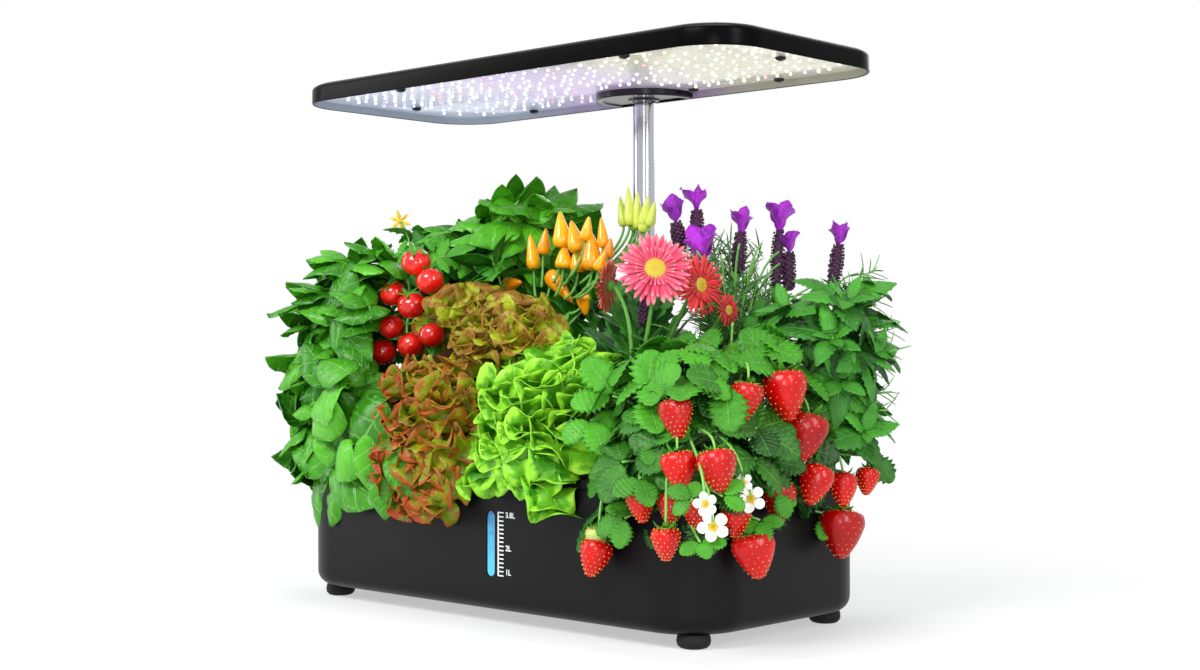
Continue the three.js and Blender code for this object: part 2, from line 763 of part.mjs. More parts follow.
function housingGroup() {
  const group = new THREE.Group();
  const lowZ = deckTopZ + seatGap;
  const width = housingRightX - housingLeftX;
  const depth = housingRearY - housingFrontY;
  const centreX = (housingRightX + housingLeftX) / 2;
  const centreY = (housingRearY + housingFrontY) / 2;
  const ceilingZ = housingTopZ - housingWall;
  const boardZ = lowZ + boardRise;
  const boardTopZ = boardZ + boardThickness;
  const buttonY = housingFrontY + housingWall + boardInset + boardDepth / 2;
  const buttonXs = [firstButtonX, firstButtonX + buttonSpacing];
  const jackZ = (lowZ + ceilingZ) / 2;

  const shellOuter = roundedBox(width, depth, housingCornerRadius, lowZ, housingTopZ, housingEdgeRadius);
  shellOuter.translate(centreX, centreY, 0);
  const hollow = roundedBox(
    width - 2 * housingWall,
    depth - 2 * housingWall,
    housingCornerRadius - housingWall,
    lowZ - overrun,
    ceilingZ,
    housingEdgeRadius - housingWall / 2,
  );
  hollow.translate(centreX, centreY, 0);
  const sleeveRadius = outerTubeRadius + seatGap + mastBossWall;
  const sleeve = rod(sleeveRadius, lowZ, ceilingZ + housingWall / 2, 0, mastY);
  const postXs = [
    housingLeftX + housingWall + boardInset + postRadius,
    firstButtonX - buttonRadius - buttonFlange - 2 * postRadius,
  ];
  const posts = postXs.map((x) => rod(postRadius, boardTopZ + seatGap, ceilingZ + housingWall / 2, x, buttonY, 8));
  const mastBore = rod(outerTubeRadius + seatGap, lowZ - overrun, housingTopZ + overrun, 0, mastY);
  const buttonHoles = buttonXs.map((x) => rod(buttonRadius + seatGap, ceilingZ - overrun, housingTopZ + overrun, x, buttonY, 16));
  const jackHole = rod(jackRadius + seatGap, -housingWall - overrun, overrun, 0, 0, 16);
  jackHole.rotateX(-Math.PI / 2);
  jackHole.translate(jackX, housingRearY, jackZ);
  const shell = join(cut(shellOuter, hollow), sleeve, ...posts);
  group.add(piece('control_housing', cut(shell, mastBore, ...buttonHoles, jackHole), blackGloss));

  const flangeTopZ = ceilingZ - seatGap;
  const flangeLowZ = flangeTopZ - buttonFlangeThickness;
  const stemLowZ = boardTopZ + switchHeight() + buttonTravel + seatGap;
  buttonXs.forEach((x, i) => {
    const button = turned([
      [0, stemLowZ],
      [buttonStemRadius, stemLowZ],
      [buttonStemRadius, flangeLowZ],
      [buttonRadius + buttonFlange, flangeLowZ],
      [buttonRadius + buttonFlange, flangeTopZ],
      [buttonRadius, flangeTopZ],
      [buttonRadius, housingTopZ + buttonRise - buttonRise / 2],
      [buttonRadius - buttonRise / 2, housingTopZ + buttonRise],
      [0, housingTopZ + buttonRise],
    ], 16);
    const mesh = piece(i === 0 ? 'light_button' : 'pump_button', button, greyPlastic);
    mesh.position.set(x, buttonY, 0);
    group.add(mesh);
  });

  const board = block(
    housingLeftX + housingWall + boardInset,
    housingRightX - housingWall - boardInset,
    buttonY - boardDepth / 2,
    buttonY + boardDepth / 2,
    boardZ,
    boardTopZ,
  );
  const switches = buttonXs.map((x) => rod(
    switchRadius,
    boardZ + boardThickness / 2,
    boardTopZ + switchHeight(),
    x,
    buttonY,
    12,
  ));
  group.add(piece('control_board', join(board, ...switches), greenBoard));

  const jack = turned([
    [0, -jackLength],
    [jackRadius, -jackLength],
    [jackRadius, seatGap],
    [jackRadius + jackFlange, seatGap],
    [jackRadius + jackFlange, seatGap + jackFlangeThickness],
    [jackBoreRadius, seatGap + jackFlangeThickness],
    [jackBoreRadius, seatGap + jackFlangeThickness - jackBoreDepth],
    [jackPinRadius, seatGap + jackFlangeThickness - jackBoreDepth],
    [jackPinRadius, -jackFlangeThickness],
    [0, -jackFlangeThickness],
  ], 16);
  const jackMesh = piece('power_inlet', jack, blackSatin);
  jackMesh.rotation.x = -Math.PI / 2;
  jackMesh.position.set(jackX, housingRearY, jackZ);
  group.add(jackMesh);
  return group;
}

// A switch fills half of the room between the board and the button's flange.
function switchHeight() {
  const room = housingHeight - housingWall - boardRise - boardThickness - buttonFlangeThickness - seatGap;
  return (room - buttonTravel) / 2;
}

// Mast

function mastGroup() {
  const group = new THREE.Group();
  const lowZ = deckTopZ + seatGap;
  group.add(piece('mast_outer_tube', tube(outerTubeRadius, outerTubeBore, lowZ, outerTubeTopZ), steel));
  const sleeveRadius = outerTubeRadius + seatGap;
  const collar = turned([
    [sleeveRadius, outerTubeTopZ - collarHeight],
    [sleeveRadius + collarSleeveWall, outerTubeTopZ - collarHeight],
    [sleeveRadius + collarSleeveWall, outerTubeTopZ + collarLip - collarLip / 2],
    [sleeveRadius + collarSleeveWall - collarLip / 2, outerTubeTopZ + collarLip],
    [outerTubeBore, outerTubeTopZ + collarLip],
    [outerTubeBore, outerTubeTopZ + seatGap],
    [sleeveRadius, outerTubeTopZ + seatGap],
    [sleeveRadius, outerTubeTopZ - collarHeight],
  ], 20);
  group.add(piece('mast_collar', collar, blackSatin));
  group.position.set(0, mastY, 0);
  return group;
}

// Lamp head: a shallow upturned tray, with the LED board screwed up into it

function lampRing(inset, z) {
  return roundedRing(lampWidth - 2 * inset, lampDepth - 2 * inset, lampCornerRadius - inset, z);
}

// The rounded shoulder between the side band and the flat top, at a distance inside the outer skin.
function lampShoulder(wall) {
  const shoulderSteps = 3;
  return Array.from({ length: shoulderSteps + 1 }, (_, i) => {
    const angle = (i / shoulderSteps) * Math.PI / 2;
    const inset = lampShoulderInset * (1 - Math.cos(angle));
    return lampRing(wall + inset, lampRimZ + lampBand - wall + lampShoulderRise * Math.sin(angle));
  });
}

function lampShell() {
  const tray = loft([
    ...lampShoulder(lampWall).reverse(),
    lampRing(lampWall, lampRimZ),
    lampRing(0, lampRimZ),
    ...lampShoulder(0),
  ]);
  tray.translate(0, lampCentreY, 0);
  const bossLowZ = ledBoardZ + ledBoardThickness + seatGap;
  const bosses = screwPlaces().map(([x, y]) => rod(lampBossRadius, bossLowZ, lampCeilingZ + lampWall / 2, x, y, 8));
  const pilots = screwPlaces().map(([x, y]) => rod(
    screwShankRadius + seatGap,
    bossLowZ - overrun,
    ledBoardZ - seatGap + screwLength + seatGap,
    x,
    y,
    6,
  ));
  return cut(join(tray, ...bosses), ...pilots);
}

// The screws spread from the hub's side to the lamp's corner.
function screwPlaces() {
  const room = lampWidth / 2 - hubHalfWidth;
  return lampScrewShares.flatMap((share) => [-1, 1].map((side) => [
    side * (hubHalfWidth + share.x * room),
    lampCentreY + share.y * lampDepth / 2,
  ]));
}

function ledBoard() {
  const inset = lampWall + seatGap;
  const plate = loft([lampRing(inset, ledBoardZ), lampRing(inset, ledBoardZ + ledBoardThickness)]);
  plate.translate(0, lampCentreY, 0);
  const highZ = ledBoardZ + ledBoardThickness + overrun;
  const hubHole = rod(hubBossRadius() + seatGap, ledBoardZ - overrun, highZ, 0, mastY);
  const screwHoles = screwPlaces().map(([x, y]) => rod(screwShankRadius + seatGap, ledBoardZ - overrun, highZ, x, y, 6));
  return cut(plate, hubHole, ...screwHoles);
}

function hubBossRadius() {
  return innerTubeRadius + seatGap + hubBossWall;
}

// The hub is a D-shaped plate under the board, flat at the rear, with a boss that takes the mast.
function lampHub() {
  const rearY = lampCentreY + lampDepth / 2 - lampWall - seatGap;
  const centreY = rearY - (rearY - mastY + hubFrontReach - hubHalfWidth);
  const shape = new THREE.Shape();
  shape.moveTo(-hubHalfWidth, rearY);
  shape.lineTo(-hubHalfWidth, centreY);
  shape.absarc(0, centreY, hubHalfWidth, Math.PI, 2 * Math.PI, false);
  shape.lineTo(hubHalfWidth, rearY);
  shape.closePath();
  const lowZ = lampRimZ + hubDrop;
  const plate = new THREE.ExtrudeGeometry(shape, { depth: ledBoardZ - seatGap - lowZ, bevelEnabled: false, curveSegments: 12 });
  plate.translate(0, 0, lowZ);
  const bossTopZ = lampCeilingZ - seatGap;
  const boss = rod(hubBossRadius(), lowZ + hubDrop, bossTopZ, 0, mastY);
  const bore = rod(innerTubeRadius + seatGap, lowZ - overrun, bossTopZ - hubCap, 0, mastY);
  const room = loft([
    lampRing(lampWall + seatGap, lampRimZ - overrun),
    ...lampShoulder(lampWall + seatGap),
  ]).translate(0, lampCentreY, 0);
  const trimmed = toSolid(boss).intersect(toSolid(room));
  return cut(join(plate, toGeometry(trimmed)), bore);
}

function lampGroup() {
  const group = new THREE.Group();
  const tubeTopZ = lampCeilingZ - 2 * seatGap - hubCap;
  const inner = tube(innerTubeRadius, innerTubeRadius - innerTubeWall, innerTubeLowZ, tubeTopZ);
  inner.translate(0, mastY, 0);
  group.add(piece('mast_inner_tube', inner, steel));
  group.add(piece('lamp_hub', lampHub(), purpleBlack));
  group.add(piece('lamp_shell', lampShell(), blackGloss));
  group.add(piece('led_board', ledBoard(), silverBoard));
  const headTopZ = ledBoardZ - seatGap;
  const screw = turned([
    [0, headTopZ - screwHeadHeight],
    [screwHeadRadius * Math.sin(Math.PI / 4), headTopZ - screwHeadHeight * Math.cos(Math.PI / 4)],
    [screwHeadRadius, headTopZ],
    [screwShankRadius, headTopZ],
    [screwShankRadius, headTopZ + screwLength],
    [0, headTopZ + screwLength],
  ], 8);
  screwPlaces().forEach(([x, y], i) => {
    const mesh = piece(`lamp_screw_${i + 1}`, screw, blackSatin);
    mesh.position.set(x, y, 0);
    group.add(mesh);
  });
  return group;
}

// Pump: a hanger under the deck, the motor block with its chamber, the impeller and the inlet cover

function pumpGroup() {
  const group = new THREE.Group();
  const ceilingZ = deckTopZ - deckPlate - seatGap - pumpLowZ;
  const half = pumpWidth / 2 + seatGap;
  const outer = half + cradleWall;
  const profile = [
    [-outer - cradleTab, ceilingZ],
    [-outer - cradleTab, ceilingZ - cradleWall],
    [-outer, ceilingZ - cradleWall],
    [-outer, -seatGap - cradleWall],
    [outer, -seatGap - cradleWall],
    [outer, ceilingZ - cradleWall],
    [outer + cradleTab, ceilingZ - cradleWall],
    [outer + cradleTab, ceilingZ],
    [half, ceilingZ],
    [half, -seatGap],
    [-half, -seatGap],
    [-half, ceilingZ],
  ];
  const cradle = prism(profile, -cradleDepth / 2, cradleDepth / 2);
  cradle.rotateX(Math.PI / 2);
  group.add(piece('pump_cradle', cradle, blackSatin));

  const axisZ = pumpHeight / 2;
  const along = (geometry) => geometry.rotateX(Math.PI / 2).translate(0, 0, axisZ);
  const frontY = -pumpDepth / 2;
  const body = roundedBox(pumpWidth, pumpDepth, pumpEdgeRadius, 0, pumpHeight, pumpEdgeRadius);
  const chamber = along(rod(chamberRadius, -frontY - chamberDepth, -frontY + overrun, 0, 0, 16));
  const shaftHole = along(rod(
    shaftRadius + shaftGap,
    -frontY - chamberDepth - shaftReach - seatGap,
    -frontY,
    0,
    0,
    12,
  ));
  const outletTop = pumpHeight + outletHeight;
  const outlet = rod(outletRadius, pumpHeight - overrun, outletTop, -outletOffsetX, 0, 12);
  const outletBore = rod(outletRadius - outletWall, axisZ, outletTop + overrun, -outletOffsetX, 0, 12);
  const bodyShape = cut(join(body, outlet), chamber, shaftHole, outletBore);
  group.add(piece('pump_body', bodyShape, blackSatin));

  const cover = along(rod(chamberRadius + pumpEdgeRadius, 0, pumpCoverThickness, 0, 0, 16));
  cover.translate(0, frontY - seatGap, 0);
  const inlets = Array.from({ length: coverInletCount }, (_, i) => {
    const angle = (i / coverInletCount) * 2 * Math.PI;
    const x = coverInletRing * Math.cos(angle);
    const y = coverInletRing * Math.sin(angle);
    const hole = along(rod(coverInletRadius, -overrun, pumpCoverThickness + overrun, x, y, 6));
    return hole.translate(0, frontY - seatGap, 0);
  });
  const bearing = along(rod(shaftRadius + shaftGap, -overrun, pumpCoverThickness / 2, 0, 0, 12));
  bearing.translate(0, frontY - seatGap, 0);
  group.add(piece('pump_cover', cut(cover, ...inlets, bearing), blackSatin));

  // The impeller runs on one shaft from a hole in the block to a hole in the cover.
  const rearZ = -frontY - chamberDepth + slideGap;
  const magnetEnd = rearZ + magnetLength;
  const magnet = rod(magnetRadius, rearZ, magnetEnd, 0, 0, 12);
  const blades = Array.from({ length: bladeCount }, (_, i) => {
    const blade = block(0, bladeRadius, -bladeThickness / 2, bladeThickness / 2, magnetEnd - bladeThickness, magnetEnd + bladeLength);
    return blade.rotateZ((i / bladeCount) * 2 * Math.PI);
  });
  const shaft = rod(
    shaftRadius,
    rearZ - slideGap - shaftReach,
    -frontY + seatGap + pumpCoverThickness / 2 - seatGap,
    0,
    0,
    12,
  );
  group.add(piece('impeller', along(join(magnet, ...blades, shaft)), greyPlastic));

  const leadTop = deckTopZ + seatGap + boardRise - seatGap - pumpLowZ;
  const lead = rod(leadRadius, pumpHeight + seatGap, leadTop, leadOffsetX, leadOffsetY, 8);
  group.add(piece('pump_lead', lead, blackRubber));
  group.position.set(0, pumpY, pumpLowZ);
  return group;
}

const garden = new THREE.Group();
garden.add(tankGroup());
garden.add(piece('grow_deck', deckGeometry(), blackSatin));
garden.add(...podGroups());
garden.add(lidGroup());
garden.add(housingGroup());
garden.add(mastGroup());
garden.add(lampGroup());
garden.add(pumpGroup());

export default garden;
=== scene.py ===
# %% [markdown]
# # A countertop hydroponic garden
#
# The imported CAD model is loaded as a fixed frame: every body, joint and node is already in place.
# This notebook dresses that frame. Each piece is made where the CAD says it goes, rides on the body
# that carries it, and gets a finish made of nodes, so that the model needs no image files.

# %% Load the frame
import math
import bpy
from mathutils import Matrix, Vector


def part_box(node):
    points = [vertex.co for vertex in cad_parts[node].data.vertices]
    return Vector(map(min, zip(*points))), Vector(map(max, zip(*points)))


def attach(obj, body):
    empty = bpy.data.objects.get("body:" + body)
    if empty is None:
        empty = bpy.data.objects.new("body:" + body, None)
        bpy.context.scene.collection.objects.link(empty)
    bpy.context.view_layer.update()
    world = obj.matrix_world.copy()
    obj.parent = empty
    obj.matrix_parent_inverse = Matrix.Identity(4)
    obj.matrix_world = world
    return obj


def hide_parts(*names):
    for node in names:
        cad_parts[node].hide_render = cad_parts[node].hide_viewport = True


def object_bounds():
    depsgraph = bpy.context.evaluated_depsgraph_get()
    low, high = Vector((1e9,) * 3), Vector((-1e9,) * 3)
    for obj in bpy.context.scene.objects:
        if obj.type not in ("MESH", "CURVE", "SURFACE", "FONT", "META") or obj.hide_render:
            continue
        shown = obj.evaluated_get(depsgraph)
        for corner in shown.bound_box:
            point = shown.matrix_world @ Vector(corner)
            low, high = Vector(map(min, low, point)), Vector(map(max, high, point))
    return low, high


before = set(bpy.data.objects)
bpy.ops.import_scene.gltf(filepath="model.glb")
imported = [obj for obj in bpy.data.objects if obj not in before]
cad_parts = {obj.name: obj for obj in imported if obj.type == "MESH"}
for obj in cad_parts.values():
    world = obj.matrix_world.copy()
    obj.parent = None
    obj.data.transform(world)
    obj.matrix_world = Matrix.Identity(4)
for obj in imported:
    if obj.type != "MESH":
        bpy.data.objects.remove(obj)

from types import SimpleNamespace

import bmesh
import bpy
import numpy as np
from mathutils import Matrix, Vector
from mathutils.bvhtree import BVHTree

CAD_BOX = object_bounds()
MM = 0.001


# %% Boxes and objects
def box_of(name):
    """Both corners of a CAD node's box."""
    return [np.array(corner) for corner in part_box(name)]


def linked(name, data):
    """A new object that holds this data, put into the scene."""
    made = bpy.data.objects.new(name, data)
    bpy.context.scene.collection.objects.link(made)
    return made


print("tank's box in millimetres:", [np.round(corner / MM, 1).tolist() for corner in box_of("reservoir")])


# %% [markdown]
# ## Camera, light and floor
#
# The camera stands at the photograph's angle: to the right of the front, a little above the middle
# of the tank, and level. Its lens was found from the outlines of the tank and of the lamp.
# The light is that of a small studio: one wide soft box over the front, a fill from the right and
# a tall strip on each side that draws the soft upright bands on the tank's round corners.

# %% Camera
PHOTO_WIDTH = 1200
PHOTO_HEIGHT = 670
CAMERA_AZIMUTH = math.radians(42.85)
CAMERA_PITCH = math.radians(0.37)
CAMERA_DISTANCE = 1273.3 * MM
CAMERA_SIDE = 21.97 * MM
CAMERA_HEIGHT = 189.7 * MM
FOCAL_PIXELS = 1751.6
SENSOR = 36.0

towards_back = Vector((math.sin(CAMERA_AZIMUTH), -math.cos(CAMERA_AZIMUTH), 0))
to_right = Vector((math.cos(CAMERA_AZIMUTH), math.sin(CAMERA_AZIMUTH), 0))
camera_place = towards_back * CAMERA_DISTANCE + to_right * CAMERA_SIDE + Vector((0, 0, CAMERA_HEIGHT))
view_forward = -towards_back * math.cos(CAMERA_PITCH) + Vector((0, 0, math.sin(CAMERA_PITCH)))
view_up = to_right.cross(view_forward)

camera_data = bpy.data.cameras.new("camera")
camera_data.sensor_width = SENSOR
camera_data.lens = SENSOR * FOCAL_PIXELS / PHOTO_WIDTH
camera = linked("camera", camera_data)
axes = Matrix((to_right, view_up, -view_forward)).transposed().to_4x4()
camera.matrix_world = Matrix.Translation(camera_place) @ axes
bpy.context.scene.camera = camera
bpy.context.scene.view_settings.view_transform = "Standard"
print("lens", round(camera_data.lens, 2), "mm, camera at", [round(v, 3) for v in camera_place])


# %% Reading a place from the photograph
def view_ray(u, v):
    """Direction from the camera through pixel (u, v) of the 1200 x 670 photograph."""
    across = (u - PHOTO_WIDTH / 2) / FOCAL_PIXELS
    upward = (PHOTO_HEIGHT / 2 - v) / FOCAL_PIXELS
    return view_forward + to_right * across + view_up * upward


def seen_at(u, v, x=None, y=None):
    """The point of pixel (u, v) that lies in the plane x = ... or y = ..., given in millimetres."""
    ray = view_ray(u, v)
    axis, value = (0, x) if x is not None else (1, y)
    reach = (value * MM - camera_place[axis]) / ray[axis]
    return np.array(camera_place + ray * reach)


POLE_TOP = (644.7, 101.5)
MAST_Y = 81.5
print("the pole's top stands at", np.round(seen_at(*POLE_TOP, y=MAST_Y) / MM, 1))


# %% Node helpers
def new_tree(owner):
    owner.use_nodes = True
    owner.node_tree.nodes.clear()
    return owner.node_tree


def node(tree, kind, inputs=None, **settings):
    """Add a node, set its attributes, then its inputs: a value sets a socket, a socket links it."""
    made = tree.nodes.new(kind)
    for key, value in settings.items():
        setattr(made, key, value)
    for key, value in (inputs or {}).items():
        if isinstance(value, bpy.types.NodeSocket):
            tree.links.new(value, made.inputs[key])
        else:
            made.inputs[key].default_value = value
    return made


def new_material(name):
    material = bpy.data.materials.new(name)
    return material, new_tree(material)


OPERATIONS = {"+": "ADD", "-": "SUBTRACT", "*": "MULTIPLY", "/": "DIVIDE"}


def calc(tree, operation, first, second=0.0, clamp=False):
    made = node(tree, "ShaderNodeMath", {0: first, 1: second}, operation=OPERATIONS.get(operation, operation))
    made.use_clamp = clamp
    return made.outputs[0]


def smooth_step(tree, value, low, high):
    made = node(tree, "ShaderNodeMapRange", {"Value": value, "From Min": low, "From Max": high},
                interpolation_type="SMOOTHSTEP")
    return made.outputs["Result"]


def object_place(tree):
    return node(tree, "ShaderNodeTexCoord").outputs["Object"]


def split_axes(tree, vector):
    return node(tree, "ShaderNodeSeparateXYZ", {"Vector": vector}).outputs


def leaf_place(tree):
    """Where a point lies on its leaf: X across it and Y along it, each from 0 to 1."""
    return split_axes(tree, node(tree, "ShaderNodeUVMap", uv_map="leaf").outputs["UV"])


def leaf_tint(tree):
    return node(tree, "ShaderNodeAttribute", attribute_name="tint").outputs["Fac"]


def noise(tree, vector, scale, detail):
    return node(tree, "ShaderNodeTexNoise",
                {"Vector": vector, "Scale": scale, "Detail": detail}).outputs["Fac"]


def stretched_noise(tree, stretch, detail):
    """Noise drawn out along one axis, for fibres and polished metal."""
    drawn = node(tree, "ShaderNodeMapping", {"Vector": object_place(tree), "Scale": stretch})
    return noise(tree, drawn.outputs["Vector"], 1.0, detail)


def swing(tree, wave, size):
    """A noise of 0 to 1 made to swing about zero."""
    return calc(tree, "*", calc(tree, "-", wave, 0.5), size)


def rgb(text, alpha=1.0):
    """A colour written as six hex digits, as it looks on the screen, turned to linear light."""
    parts = [int(text[i:i + 2], 16) / 255 for i in (0, 2, 4)]
    linear = [p / 12.92 if p <= 0.04045 else ((p + 0.055) / 1.055) ** 2.4 for p in parts]
    return (*linear, alpha)


print("white is", rgb("ffffff"))


# %% Studio
LIT_POINT = Vector((0, 0, 0.2))
SOFT_BOXES = (
    ("key_light", (0.2, -1.5, 1.3), (0.9, 0.7), 31),
    ("right_light", (1.7, -0.3, 0.8), (0.35, 1.2), 14),
    ("top_light", (-0.1, 0.1, 1.9), (0.9, 0.6), 12),
    ("left_light", (-1.3, -0.9, 0.6), (0.25, 1.2), 8),
    ("corner_light", (1.12, -1.18, 0.3), (0.3, 0.55), 5),
    ("back_light", (-0.5, 1.6, 0.9), (1.2, 0.8), 9),
)


def soft_box(name, place, size, power):
    data = bpy.data.lights.new(name, "AREA")
    data.shape = "RECTANGLE"
    data.size, data.size_y = size
    data.energy = power
    lamp = linked(name, data)
    lamp.location = place
    lamp.rotation_euler = (LIT_POINT - Vector(place)).to_track_quat("-Z", "Y").to_euler()


def seen_directly(tree):
    """1 for a ray that shows the surface itself, in the camera, in a mirror or through glass."""
    rays = node(tree, "ShaderNodeLightPath").outputs
    mirrored = calc(tree, "MAXIMUM", rays["Is Glossy Ray"], rays["Is Transmission Ray"])
    return calc(tree, "MAXIMUM", rays["Is Camera Ray"], mirrored)


for soft_box_values in SOFT_BOXES:
    soft_box(*soft_box_values)

world = bpy.data.worlds.new("studio")
bpy.context.scene.world = world
tree = new_tree(world)
room = node(tree, "ShaderNodeBackground", {"Color": (0.88, 0.92, 1.0, 1), "Strength": 0.24})
white = node(tree, "ShaderNodeBackground", {"Color": (1, 1, 1, 1), "Strength": 1.0})
mixed = node(tree, "ShaderNodeMixShader", {0: seen_directly(tree), 1: room.outputs[0], 2: white.outputs[0]})
node(tree, "ShaderNodeOutputWorld", {"Surface": mixed.outputs[0]})

floor_mesh = bpy.data.meshes.new("floor")
FLOOR_REACH = 6.0
SHADOW_REACH = (0.22, 0.62)
SHADOW_LIFT = 0.5
floor_mesh.from_pydata(
    [(-FLOOR_REACH, -FLOOR_REACH, 0), (FLOOR_REACH, -FLOOR_REACH, 0),
     (FLOOR_REACH, FLOOR_REACH, 0), (-FLOOR_REACH, FLOOR_REACH, 0)], [], [(0, 1, 2, 3)])
floor = linked("floor", floor_mesh)
floor_material, tree = new_material("pale_floor")
reach = node(tree, "ShaderNodeVectorMath", {0: object_place(tree)}, operation="LENGTH").outputs["Value"]
fade = {"Value": reach, "From Min": SHADOW_REACH[0], "From Max": SHADOW_REACH[1], "To Min": SHADOW_LIFT}
far = node(tree, "ShaderNodeMapRange", fade, interpolation_type="SMOOTHSTEP").outputs["Result"]
paper = node(tree, "ShaderNodeBsdfDiffuse", {"Color": (0.9, 0.9, 0.9, 1)})
glow = node(tree, "ShaderNodeEmission", {"Color": (1, 1, 1, 1), "Strength": 1.0})
share = calc(tree, "*", seen_directly(tree), far)
mixed = node(tree, "ShaderNodeMixShader", {0: share, 1: paper.outputs[0], 2: glow.outputs[0]})
node(tree, "ShaderNodeOutputMaterial", {"Surface": mixed.outputs[0]})
floor_mesh.materials.append(floor_material)
print("floor and", len(bpy.data.lights), "lamps")


# %% [markdown]
# ## Shared effects
#
# A real surface is never one flat colour. Two effects are used all over this object, so each is
# a node group: a fine moulded grain for plastic, and the veins of a leaf. A group only gives out
# masks and heights. The shader itself stays in each material, where its own values are set.

# %% Group: moulded grain
def make_group(name, inputs, outputs):
    group = bpy.data.node_groups.new(name, "ShaderNodeTree")
    for label, value in inputs.items():
        socket = group.interface.new_socket(label, in_out="INPUT", socket_type="NodeSocketFloat")
        socket.default_value = value
    for label in outputs:
        group.interface.new_socket(label, in_out="OUTPUT", socket_type="NodeSocketFloat")
    return group, node(group, "NodeGroupInput"), node(group, "NodeGroupOutput")


grain_group, grain_in, grain_out = make_group(
    "moulded_grain", {"Grain size": 0.0008, "Cloud size": 0.05}, ["Height", "Cloud"])
place = object_place(grain_group)
grain_scale = calc(grain_group, "/", 1.0, grain_in.outputs["Grain size"])
cloud_scale = calc(grain_group, "/", 1.0, grain_in.outputs["Cloud size"])
grain_group.links.new(noise(grain_group, place, grain_scale, 2.0), grain_out.inputs["Height"])
grain_group.links.new(noise(grain_group, place, cloud_scale, 3.0), grain_out.inputs["Cloud"])
print("group", grain_group.name)


# %% Group: leaf veins
vein_group, vein_in, vein_out = make_group(
    "leaf_veins", {"Pairs": 6.0, "Slant": 0.8, "Rib width": 0.05, "Vein width": 0.16},
    ["Vein", "Swell", "Edge"])
split = leaf_place(vein_group)
centred = calc(vein_group, "-", split["X"], 0.5)
outward = calc(vein_group, "*", calc(vein_group, "ABSOLUTE", centred), 2.0)
rib = calc(vein_group, "-", 1.0, smooth_step(vein_group, outward, 0.0, vein_in.outputs["Rib width"]))
slanted = calc(vein_group, "-", split["Y"],
               calc(vein_group, "*", outward,
                    calc(vein_group, "/", vein_in.outputs["Slant"], vein_in.outputs["Pairs"])))
phase = calc(vein_group, "FRACT", calc(vein_group, "*", slanted, vein_in.outputs["Pairs"]))
away = calc(vein_group, "ABSOLUTE", calc(vein_group, "-", phase, 0.5))
near_vein = calc(vein_group, "-", 0.5, away)
side_vein = calc(vein_group, "-", 1.0, smooth_step(vein_group, near_vein, 0.0, vein_in.outputs["Vein width"]))
vein = calc(vein_group, "MAXIMUM", rib, calc(vein_group, "*", side_vein, 0.62))
vein_group.links.new(vein, vein_out.inputs["Vein"])
vein_group.links.new(calc(vein_group, "-", 1.0, vein), vein_out.inputs["Swell"])
vein_group.links.new(smooth_step(vein_group, outward, 0.55, 1.0), vein_out.inputs["Edge"])
print("group", vein_group.name)


# %% [markdown]
# ## Finishes
#
# The hard pieces are injection-moulded plastic, black rubber, polished stainless tube and a coated
# circuit board. Every plastic gets the moulded grain in its roughness and its bump.

# %% Plastic, rubber and steel
def spaced(values):
    """Input names written with underscores, turned to the names on the sockets."""
    return {label.replace("_", " "): value for label, value in values.items()}


def add_principled(tree, **values):
    shader = node(tree, "ShaderNodeBsdfPrincipled", spaced(values))
    node(tree, "ShaderNodeOutputMaterial", {"Surface": shader.outputs[0]})


def place_group(tree, group, **values):
    return node(tree, "ShaderNodeGroup", spaced(values), node_tree=group)


def between(tree, share, low, high):
    """A number that runs from low to high as share runs from 0 to 1."""
    return node(tree, "ShaderNodeMapRange", {"Value": share, "To Min": low, "To Max": high}).outputs["Result"]


def mix_colors(tree, share, first, second):
    return node(tree, "ShaderNodeMix", {0: share, 6: first, 7: second}, data_type="RGBA").outputs[2]


def bump(tree, height, strength, distance):
    made = node(tree, "ShaderNodeBump", {"Height": height, "Strength": strength, "Distance": distance})
    return made.outputs["Normal"]


def plastic(name, dark, light, roughness, spread=0.08, grain=0.0006, depth=0.00004, strength=0.35, coat=0.0,
            specular=0.25):
    material, tree = new_material(name)
    effect = place_group(tree, grain_group, Grain_size=grain, Cloud_size=0.06)
    color = mix_colors(tree, effect.outputs["Cloud"], rgb(dark), rgb(light))
    rough = between(tree, effect.outputs["Cloud"], roughness - spread / 2, roughness + spread / 2)
    add_principled(tree, Base_Color=color, Roughness=rough, Coat_Weight=coat, Coat_Roughness=0.12,
                   Specular_IOR_Level=specular,
                   Normal=bump(tree, effect.outputs["Height"], strength, depth))
    return material


def steel_finish(name):
    material, tree = new_material(name)
    lines = stretched_noise(tree, (2600.0, 2600.0, 6.0), 2.0)
    color = mix_colors(tree, lines, rgb("9a9aa4"), rgb("c8c8d0"))
    rough = between(tree, lines, 0.1, 0.2)
    add_principled(tree, Base_Color=color, Metallic=1.0, Roughness=rough,
                   Normal=bump(tree, lines, 0.15, 0.00001))
    return material


tank_finish = plastic("tank_plastic", "0c0c0d", "111112", 0.38, specular=0.13)
satin_finish = plastic("satin_black_plastic", "0a0b0c", "101112", 0.45, specular=0.12)
gloss_finish = plastic("gloss_black_plastic", "020202", "050505", 0.28, grain=0.0009, strength=0.15,
                       specular=0.04)
hub_finish = plastic("hub_plastic", "0e0714", "170c20", 0.26, strength=0.15, coat=0.15, specular=0.2)
key_finish = plastic("grey_key_plastic", "6a6e72", "797d82", 0.4)
rubber_finish = plastic("foot_rubber", "0d0d0d", "181818", 0.7, grain=0.0004, depth=0.00006, strength=0.6)
screw_finish = plastic("black_oxide", "09090a", "141416", 0.3, grain=0.0003, strength=0.2, coat=0.2)
tube_finish = steel_finish("polished_steel")
print("finishes:", len(bpy.data.materials))


